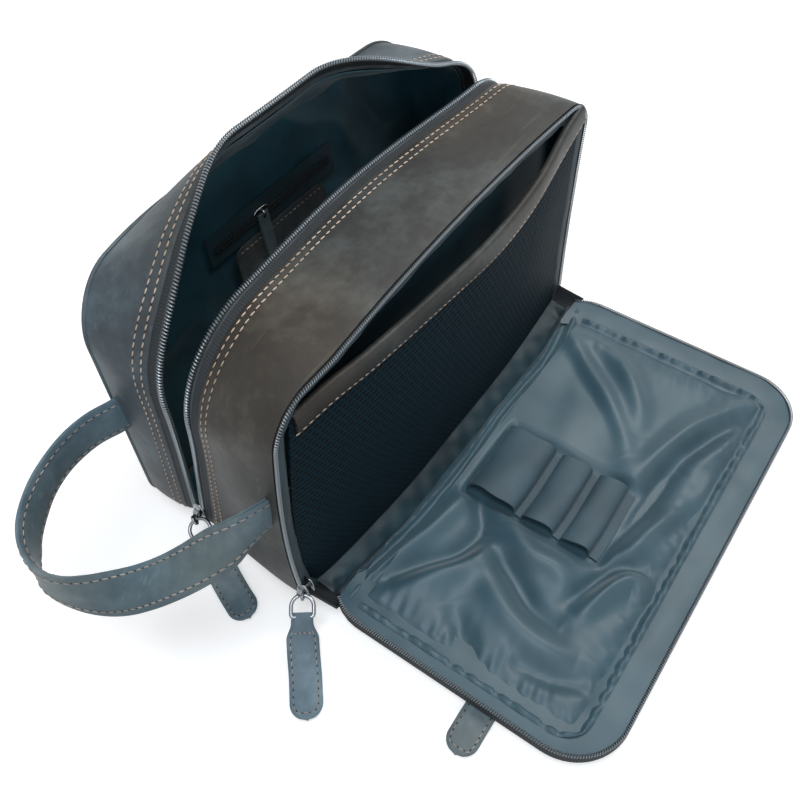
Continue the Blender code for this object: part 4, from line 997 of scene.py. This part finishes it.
def build_hinge():
    """The lining that crosses from the mesh pocket's foot to the door, and the leather fold below it.

    The lining dips, then runs along the hinge as two narrow rolled ridges that turn back at the corners."""
    share, v = np.meshgrid(np.linspace(0, 1, 261), np.linspace(0, 1, 61))
    x = -117.0 + 232.0 * share
    y = 1.0 - 30.0 * v
    flat = np.stack([x, y, np.zeros_like(x)], axis=-1)
    first = -19.2 + 6.5 * smooth((np.abs(x + 2) - 58) / 58) + 0.9 * np.sin(x / 17)
    second = first - 6.2 + 1.2 * np.sin(x / 23 + 1)
    ridges = 2.8 * np.exp(-(((y - first) / 1.5) ** 2)) + 2.2 * np.exp(-(((y - second) / 2.0) ** 2))
    small = 0.9 * waves(flat, (16, 10), 51) * np.sin(math.pi * v)
    corner = 2.2 * waves(flat, (11, 7), 52) * smooth((np.abs(x) - 92) / 20) * np.sin(math.pi * v)
    dip = 7.6 - 1.6 * np.sin(math.pi * np.clip(v / 0.6, 0, 1)) + 1.4 * smooth((v - 0.6) / 0.4)
    p = np.stack([x, y, np.maximum(dip + ridges + small + corner, 5.2)], axis=-1)
    n = normals_of(p, along=UP)
    pieces = []
    parts = (("hinge_strip", slice(0, 35), LINING_FACING), ("hinge_lining", slice(34, 61), LINING_SLATE))
    for name, part, material in parts:
        pieces.append(skin(name, p[part], n[part], CLOTH, material))
        cloth(pieces[-1])
    for name, (body_rim, door_rim) in HINGE_WEBS.items():
        web = loft(smooth_route(body_rim, 9), smooth_route(door_rim, 9), 9)
        sag = np.sin(math.pi * np.linspace(0, 1, 9))[:, None] * np.sin(math.pi * np.linspace(0.15, 1, 9))
        web[..., 2] -= 1.2 * sag
        pieces.append(skin("hinge_web_" + name, web, normals_of(web, (0, -8, 14)), 1.0, TAPE_DARK))
    x, v = np.meshgrid(np.linspace(-117, 117, 61), np.linspace(0, 1, 13))
    q = np.stack([x, -8.5 - 8.0 * v, 2.6 + 1.6 * np.sin(math.pi * v) + 1.8 * v], axis=-1)
    fold = skin("hinge_leather", q, normals_of(q, along=UP), LEATHER, LEATHER_BACK)
    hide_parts("hinge_fold")
    ends = [(0, (y + FRONT_Y) * MM, DOOR_PIVOT[1] * MM) for y in (-8.0, -17.0)]
    blend_all(pieces + [fold], "front_half", "front_door", *ends)


# The strap from the back seam round to the front: its middle, then the direction of its upper edge.
STRAP_ROUTE = (
    (-121, 100.8, 76, 0.0, 0.09, 1.0),
    (-128.2, 101.4, 76.5, 0.04, 0.09, 1.0),
    (-139.2, 104, 77.4, 0.0, 0.07, 1.0),
    (-150.5, 104.7, 77.5, -0.1, 0.05, 0.99),
    (-161.9, 103.5, 76.8, -0.18, 0.0, 0.98),
    (-173.6, 100.4, 75.2, -0.27, -0.02, 0.96),
    (-184.2, 95.5, 72.7, -0.33, -0.04, 0.94),
    (-191.5, 90.4, 70.7, -0.33, -0.1, 0.94),
    (-196.6, 84.6, 68.3, -0.35, -0.27, 0.9),
    (-200.2, 78.2, 65, -0.16, -0.5, 0.85),
    (-200.7, 70.5, 60.9, 0.21, -0.47, 0.86),
    (-196.2, 60.5, 57.2, 0.45, -0.2, 0.87),
    (-189.2, 49.5, 57.4, 0.6, 0.1, 0.79),
    (-179.4, 35.8, 63.6, 0.72, 0.3, 0.62),
    (-167.7, 21.6, 75, 0.72, 0.3, 0.62),
    (-153.8, 11.3, 84.2, 0.6, 0.2, 0.77),
    (-138.8, 6.8, 86.3, 0.42, 0.0, 0.9),
    (-128.4, 5.6, 84.6, 0.22, -0.06, 0.97),
    (-121, 5.2, 84.2, 0.1, -0.04, 1.0),
)
STRAP_WIDTH = 20.0
STRAP_SWING_X = (-130.0, -144.0)


def build_handle():
    """The strap: two layers on edge round the loop, each cupped a little, stitched near both edges."""
    both = smooth_route(STRAP_ROUTE, 170)
    route = both[:, :3]
    _, up, side = frames_along(route, both[:, 3:])
    w = np.linspace(-1, 1, 17)[:, None, None]
    pieces = []
    for name, sign, node in (("outer", 1, "handle_stub_back"), ("inner", -1, "handle_stub_front")):
        cupped = sign * (1.8 - 0.5 * w**2 - 0.5 * w**8)
        p = route[None] + up[None] * w * STRAP_WIDTH / 2 + side[None] * cupped
        n = normals_of(p, along=side[None] * sign)
        # The strap's leather is the paler tone that paints the light on its upturned faces.
        layer = skin(f"strap_{name}_layer", p, n, 1.75, LEATHER_STRAP_LIT_TONE)
        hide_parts(f"handle_{name}_strap", node)
        pieces.append(layer)
        pieces += sewn_rows(f"strap_{name}_stitches", [(p[i], n[i]) for i in (2, -3)], THREAD_DIM)
    ends = [(x * MM, (55.0 + FRONT_Y) * MM, 0.08) for x in STRAP_SWING_X]
    blend_all(pieces, "front_half", "handle_loop", *ends)


def tab_half_width(s, length):
    """Half the tab's width at s along it: a neck, soft shoulders and a round tip."""
    neck, wide = 5.2, 7.6
    body = neck + (wide - neck) * smooth((s - 4.5) / 7.5)
    tip = np.sqrt(np.maximum(0.0, wide**2 - np.maximum(0, s - (length - wide)) ** 2))
    return np.where(s > length - wide, tip, body)


def build_tab(prefix, body, node, route, up_start, up_end):
    """A pull tab of two leather layers along a route, with its U of stitches and the bar row at its neck."""
    path = smooth_route(route, 64)
    length = float(run_of(path)[-1])
    s = np.linspace(0, length, len(path))
    share = smooth(s / length * 2)[:, None]
    up_start, up_end = np.asarray(up_start, float), np.asarray(up_end, float)
    _, up, side = frames_along(path, up_start * (1 - share) + up_end * share)
    half = np.maximum(tab_half_width(s, length), 0.25)
    w = np.linspace(-1, 1, 19)[:, None, None]
    p = path[None] + side[None] * w * half[None, :, None] + up[None] * (1.25 - 0.8 * np.abs(w) ** 6)
    # The tab's leather is the paler tone that paints the overhead light on it.
    tab = skin(prefix + "_leather_tab", p, normals_of(p, along=up[None]), 2.3, LEATHER_TAB_LIT_TONE)
    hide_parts(node)
    inset = np.maximum(half - 1.9, 0.05)[:, None]
    kept = slice(12, int(np.argmax(s > length - 1.9)) - 1)
    middle, aside = path[kept], side[kept] * inset[kept]
    u_up = np.concatenate([up[kept], up[kept][::-1]])
    u_path = np.concatenate([middle + aside, (middle - aside)[::-1]]) + u_up * 1.24
    sewn = stitches(prefix + "_tab_stitches", u_path, u_up, THREAD_DIM, 3.3, 2.2, 0.5, 0.04)
    across = path[12] + side[12] * np.linspace(-3.2, 3.2, 3)[:, None] + up[12] * 1.26
    sewn += stitches(prefix + "_tab_bar", across, up[12], THREAD_DIM, 2.4, 1.8, 0.5, 0.04)
    ride_all([tab] + sewn, body)


def d_ring(name, pivot, bar, width_axis, width=12.5, wire=0.95):
    """A wire D ring: half a circle through the eye at the pivot, straight sides and a bar for the tab."""
    pivot, bar = np.asarray(pivot, float), np.asarray(bar, float)
    length = np.linalg.norm(bar - pivot)
    reach = (bar - pivot) / length
    w = np.asarray(width_axis, float)
    w = unit(w - reach * np.dot(w, reach))
    half = width / 2 - wire
    t = np.radians(np.linspace(-90, 90, 17))
    bend = np.stack([half - half * np.cos(t), half * np.sin(t)], axis=1)
    corner = np.array([(length - 1.2, half), (length - 0.35, half - 0.35), (length, half - 1.2)])
    outline = np.concatenate([bend, corner, corner[::-1] * (1, -1)])
    path = pivot + reach * outline[:, :1] + w * outline[:, 1:]
    return sweep(name, path, np.cross(reach, w), circle(wire, 12), GUNMETAL, closed=True)


def placed_points(points, origin, x_axis, z_axis):
    """Points drawn in a piece's own frame, put at an origin along its X and Z directions."""
    x = unit(np.asarray(x_axis, float))
    z = np.asarray(z_axis, float)
    z = unit(z - x * np.dot(z, x))
    points = np.asarray(points, float)
    return origin + points[..., :1] * x + points[..., 1:2] * np.cross(z, x) + points[..., 2:] * z


def cushion_block(name, origin, along, out, size, low, high, power=3.2, taper=0.0):
    """A soft-edged block: rings of a superellipse that draw in towards its two faces."""
    t = np.linspace(0, 2 * math.pi, 40, endpoint=False)
    c, s = np.cos(t), np.sin(t)
    ex = np.sign(c) * np.abs(c) ** (2 / power) * size[0] / 2
    ey = np.sign(s) * np.abs(s) ** (2 / power) * size[1] / 2 * (1 - taper * (ex / size[0] + 0.5))
    rings = []
    for a in np.radians(np.linspace(-90, 90, 9)):
        grow = 0.72 + 0.28 * math.cos(a) ** 0.6
        z = (low + high) / 2 + (high - low) / 2 * math.sin(a)
        rings.append(np.stack([ex * grow, ey * grow, np.full_like(ex, z)], axis=1))
    p = np.concatenate(rings)
    r, k = np.meshgrid(np.arange(8), np.arange(40), indexing="ij")
    right = (k + 1) % 40
    quads = np.stack([r * 40 + k, r * 40 + right, (r + 1) * 40 + right, (r + 1) * 40 + k], axis=-1)
    faces = quads.reshape(-1, 4).tolist() + [list(range(40))[::-1], list(range(320, 360))]
    return check_outward(set_mesh(name, world(placed_points(p, origin, along, out)), faces, GUNMETAL))


def build_slider(prefix, body, node, origin, along, out, pivot, eye_axis):
    """A zip slider: two cushion-edged plates, the post between them, the crown and the ring's eye."""
    blocks = (
        ("top", (12.0, 8.6), 1.5, 2.9, 3.2, 0.22),
        ("under", (11.0, 7.6), -2.6, -1.5, 3.2, 0.22),
        ("post", (3.6, 0.8), -1.6, 1.6, 2.4, 0.0),
    )
    pieces = [cushion_block(f"{prefix}_slider_{name}", origin, along, out, *rest) for name, *rest in blocks]
    t = np.linspace(0, math.pi, 15)
    crown = np.stack([-4.2 * np.cos(t) - 0.4, np.zeros_like(t), 2.6 + 2.4 * np.sin(t)], axis=1)
    strip = np.array([(-0.6, -1.3), (0.6, -1.3), (0.6, 1.3), (-0.6, 1.3)])
    across = np.cross(out, along)
    crown = placed_points(crown, origin, along, out)
    pieces.append(sweep(prefix + "_slider_crown", crown, across, strip, GUNMETAL))
    axis = unit(np.asarray(eye_axis, float))
    first = unit(np.cross(axis, (0.1, 0.2, 1.0)))
    a = np.linspace(0, 2 * math.pi, 24, endpoint=False)[:, None]
    eye = pivot + 2.0 * (np.cos(a) * first + np.sin(a) * np.cross(axis, first))
    pieces.append(sweep(prefix + "_slider_eye", eye, axis, circle(0.8, 12), GUNMETAL, closed=True))
    root = placed_points([(-2.75, 0, 2.6)], origin, along, out)[0]
    near = root - pivot
    near = pivot + unit(near - axis * np.dot(near, axis)) * 2.0
    stem = np.stack([root, (root + near) / 2, near])
    pieces.append(sweep(prefix + "_slider_stem", stem, (0.03, 0.05, 1.0), circle(0.8, 8), GUNMETAL))
    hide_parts(node)
    ride_all(pieces, body)


def build_pull(name, origin, along, pivot, bar, axis, route, up_start, up_end):
    """A slider at the foot of the left end, with the ring and the tab that hang from it."""
    pivot, bar = np.array(pivot), np.array(bar)
    body = name + "_zip_"
    build_slider(name, body + "slider", name + "_slider", origin, along, (-1, 0, 0), pivot, axis)
    ring = d_ring(name + "_d_ring", pivot, bar, axis)
    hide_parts(name + "_ring")
    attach(ring, body + "ring")
    build_tab(name, body + "tab", name + "_tab", route, up_start, up_end)


def build_pulls():
    """The main zip's and the front opening's sliders, rings and tabs."""
    origin = (-123.2, float(zip_depth(np.array(-125.0), 22.0)) + COILS_APART / 2, 22.0)
    pivot, bar, axis = (-129.9, 66.42, 19.29), (-133.5, 57.39, 16.58), (-0.81957, 0.43847, -0.3688)
    route = ((-132.6, 59.6, 17.2), (-135.2, 53, 14.4), (-139.5, 42.5, 8.2), (-144, 31, 3.4), (-149, 17, 2.2))
    build_pull("main", origin, (0, -0.17, 1), pivot, bar, axis, route, (-0.5, 0.1, 1.0), (-0.1, 0.1, 1.0))
    origin = (-127.0, -2.0, 20.0)
    pivot, bar, axis = (-130.7, -2.5, 18.25), (-138.472, -8.329, 15.489), (-0.6, 0.8, 0)
    route = (
        (-136.8, -7.1, 16),
        (-141.5, -10.6, 13.6),
        (-149.5, -17, 7.5),
        (-158, -24.5, 3.2),
        (-171.5, -36, 2.3),
    )
    build_pull("clamshell", origin, UP, pivot, bar, axis, route, (-0.3, -0.2, 1.0), UP)


DOOR_ZIP_Y = -97.0


def build_door_pocket():
    """The zip pocket in the door's outer face: closed chain, tape, slider, ring and tab under the door."""
    y = DOOR_ZIP_Y
    x = np.linspace(-84, 87, 160)
    pieces = []
    for name, aside in (("near", 1.0), ("far", -1.0)):
        line = np.stack([x, np.full_like(x, y + aside), np.full_like(x, 4.6)], axis=1)
        pieces.append(coil("door_pocket_coil_" + name, line, DOWN, *POCKET_COIL))
    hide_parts("door_pocket_chain")
    x, v = np.meshgrid(np.linspace(-100, 92, 40), np.linspace(-1, 1, 5))
    p = np.stack([x, y + v * 8.5, np.full_like(x, 5.9)], axis=-1)
    tape = skin("door_pocket_zip_tape", p, normals_of(p, along=DOWN), CLOTH, TAPE_DARK)
    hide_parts("door_pocket_tape")
    ride_all(pieces + [tape], "front_door")
    pivot, bar = np.array([-88.65, y, 2.1]), np.array([-99.05, y, 2.1])
    runner = cushion_block("door_pocket_runner", (-82.0, y, 3.8), (1, 0, 0), DOWN, (11.0, 7.0), 0.3, 1.3)
    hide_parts("door_pocket_slider")
    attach(runner, "door_zip_slider")
    ring = d_ring("door_pocket_d_ring", pivot, bar, (0, -1, 0), 12.5, 0.6)
    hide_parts("door_pocket_ring")
    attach(ring, "door_zip_ring")
    route = ((-98.2, y, 2.1), (-110, y, 2.1), (-128, y, 2.1), (-146.5, y - 0.5, 2.1))
    build_tab("door_pocket", "door_zip_tab", "door_pocket_tab", route, UP, UP)


def inner_wall(x, z, offset):
    """Points on the inside of the back wall, offset towards the front."""
    return np.stack(np.broadcast_arrays(x, DEPTH + BULGE * z / HEIGHT - offset, z), axis=-1)


INNER_ZIP_Z = 110.0
INNER_PATCH = (-33.0, 37.0, 70.0, 101.0)  # left, right, low, high
INNER_CORNER = 6.0
INNER_PIVOT = (-10.0, 108.677, 110.357)


def build_inner_pocket():
    """The zip pocket inside the back wall: tape, closed chain, leather patch, slider and puller."""
    left, right, low, high = INNER_PATCH
    z = np.linspace(low, high, 24)
    corner = np.maximum(0, INNER_CORNER - np.minimum(z - low, high - z))
    drawn = INNER_CORNER - np.sqrt(INNER_CORNER**2 - corner**2)
    share = np.linspace(0, 1, 40)[None]
    x = (left + drawn)[:, None] * (1 - share) + (right - drawn)[:, None] * share
    p = inner_wall(x, z[:, None], 6.4)
    n = normals_of(p, along=FORWARD)
    patch = skin("inner_pocket_patch", p, n, 1.2, LEATHER_BACK)
    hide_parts("inner_patch")
    rows = [(p[i, 2:-2], n[i, 2:-2]) for i in (2, -3)]
    pieces = [patch] + sewn_rows("inner_patch_stitches", rows, THREAD_DIM, 3.4, 2.3, 0.5)
    x, v = np.meshgrid(np.linspace(-48, 48, 40), np.linspace(-1, 1, 5))
    p = inner_wall(x, INNER_ZIP_Z + v * 8, 5.9)
    tape = skin("inner_pocket_zip_tape", p, normals_of(p, along=FORWARD), CLOTH, LINING_FACING)
    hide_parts("inner_pocket_tape")
    pieces.append(tape)
    x = np.linspace(-44, 44, 90)
    for name, aside in (("upper", 1.0), ("lower", -1.0)):
        line = inner_wall(x, np.full_like(x, INNER_ZIP_Z + aside), 6.6)
        pieces.append(coil("inner_pocket_coil_" + name, line, FORWARD, *POCKET_COIL, TAPE_DARK))
    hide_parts("inner_pocket_chain")
    ride_all(pieces, "back_half")
    up, out = unit(np.array([0, BULGE / HEIGHT, 1.0])), unit(np.array([0, -1.0, BULGE / HEIGHT]))
    pivot = np.array(INNER_PIVOT)
    seat = inner_wall(pivot[0], INNER_ZIP_Z, 5.2)
    runner = cushion_block("inner_pocket_runner", seat, (1, 0, 0), out, (11.0, 7.4), 0.4, 2.0)
    a = np.linspace(0, 2 * math.pi, 20, endpoint=False)[:, None]
    loop = pivot + 2.0 * (np.cos(a) * up + np.sin(a) * out)
    eye = sweep("inner_pocket_eye", loop, (1.0, 0, 0), circle(0.7, 10), GUNMETAL, closed=True)
    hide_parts("inner_pocket_slider")
    ride_all([runner, eye], "inner_zip_slider")
    drop = np.linspace(-0.6, 27, 24)[:, None]
    half = 3.5 * np.sqrt(np.clip(1 - ((drop - 22) / 5.4).clip(0) ** 2, 0.02, 1))
    width = np.linspace(-1, 1, 9)[None] * half
    strip = pivot + out * 0.9 - up * drop[..., None] + width[..., None] * (1.0, 0, 0)
    # The puller takes the strap's paler tone, which is painted light.
    puller = skin("inner_pocket_strip", strip, normals_of(strip, along=out), 1.4, LEATHER_STRAP_LIT_TONE)
    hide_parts("inner_pocket_puller")
    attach(puller, "inner_zip_puller")


CAMERA_AZIMUTH = -53.794
CAMERA_ELEVATION = 51.505
CAMERA_ROLL = -1.532
CAMERA_DISTANCE = 0.49259
CAMERA_SHIFT = (-0.02771, 0.01672)
CAMERA_FOCAL = 36 * 0.8826 / 0.8


def build_camera():
    """The camera at the photograph's angle and distance."""
    a, e, roll = (math.radians(v) for v in (CAMERA_AZIMUTH, CAMERA_ELEVATION, CAMERA_ROLL))
    back = Vector((math.sin(a) * math.cos(e), -math.cos(a) * math.cos(e), math.sin(e)))
    right = Vector((math.cos(a), math.sin(a), 0))
    up = back.cross(right)
    r = right * math.cos(roll) + up * math.sin(roll)
    u = up * math.cos(roll) - right * math.sin(roll)
    place = back * CAMERA_DISTANCE + r * CAMERA_SHIFT[0] + u * CAMERA_SHIFT[1] + Vector((0, FRONT_Y * MM, 0))
    data = bpy.data.cameras.new("camera")
    data.sensor_width = 36
    data.lens = CAMERA_FOCAL
    camera = bpy.data.objects.new("camera", data)
    camera.matrix_world = Matrix.Translation(place) @ Matrix((r, u, back)).transposed().to_4x4()
    bpy.context.scene.collection.objects.link(camera)
    bpy.context.scene.camera = camera


def area_light(name, place, target, size, power, tint):
    """A square soft box that looks at the target."""
    data = bpy.data.lights.new(name, "AREA")
    data.shape = "SQUARE"
    data.size = size
    data.energy = power
    data.color = srgb(tint)[:3]
    lamp = bpy.data.objects.new(name, data)
    toward = Vector(target) - Vector(place)
    lamp.matrix_world = Matrix.Translation(place) @ toward.to_track_quat("-Z", "Y").to_matrix().to_4x4()
    bpy.context.scene.collection.objects.link(lamp)


WHITE = (1, 1, 1, 1)


def backdrop_rays(tree):
    """1 for the rays that see the backdrop: the camera's own, and those that gloss or glass sends on."""
    rays = add(tree, "LightPath").outputs
    seen = add(tree, "Math", {0: rays["Is Camera Ray"], 1: rays["Is Glossy Ray"]}, operation="MAXIMUM")
    through = {0: seen.outputs[0], 1: rays["Is Transmission Ray"]}
    return add(tree, "Math", through, operation="MAXIMUM").outputs[0]


def build_studio():
    """A white floor that keeps the bag's shadow, a white surround and three soft boxes."""
    surround = bpy.data.worlds.new("studio")
    surround.use_nodes = True
    bpy.context.scene.world = surround
    tree = surround.node_tree
    strength = add(tree, "MapRange", {0: backdrop_rays(tree), 3: 0.22, 4: 1.0})
    fill(tree, tree.nodes["Background"], {"Strength": strength.outputs[0], "Color": WHITE})
    mesh = bpy.data.meshes.new("floor")
    mesh.from_pydata([(x, y, -0.0002) for x, y in ((-4, -4), (4, -4), (4, 4), (-4, 4))], [], [(0, 1, 2, 3)])
    floor = bpy.data.objects.new("floor", mesh)
    bpy.context.scene.collection.objects.link(floor)
    made, tree, shader = new_material("white_card_floor", 0.9)
    place = add(tree, "TexCoord").outputs["Object"]
    # Painted light: the floor's glow for camera and glossy rays grows with distance from the bag, bringing
    # the far floor up to white while the near floor keeps the shadow.
    away = add(tree, "VectorMath", {0: place}, operation="LENGTH")
    rise = add(tree, "MapRange", {0: away.outputs["Value"], 1: 0.4, 2: 1.3, 3: 0.52, 4: 0.85})
    glow = add(tree, "Math", {0: backdrop_rays(tree), 1: rise.outputs[0]}, operation="MULTIPLY")
    card = {"Base Color": (0.8, 0.8, 0.8, 1), "Emission Color": WHITE, "Emission Strength": glow.outputs[0]}
    fill(tree, shader, card)
    mesh.materials.append(made)
    area_light("key_box", (0.6, -0.1, 1.1), (0, -0.05, 0.05), 0.55, 7.2, "#fffaf4")
    area_light("top_box", (-0.4, -0.15, 1.2), (0, 0.0, 0.06), 0.6, 7.0, "#f0f7ff")
    area_light("left_box", (-0.9, -0.75, 0.6), (0, 0, 0.07), 0.7, 2.4, "#f0f6ff")


build_camera()
build_studio()
build_front_band()
build_back_band()
build_back_panel()
build_base()
build_mesh_pocket()
build_front_opening()
build_door()
build_loops()
build_hinge()
build_handle()
build_pulls()
build_door_pocket()
build_inner_pocket()

bpy.context.scene.view_settings.view_transform = "Standard"
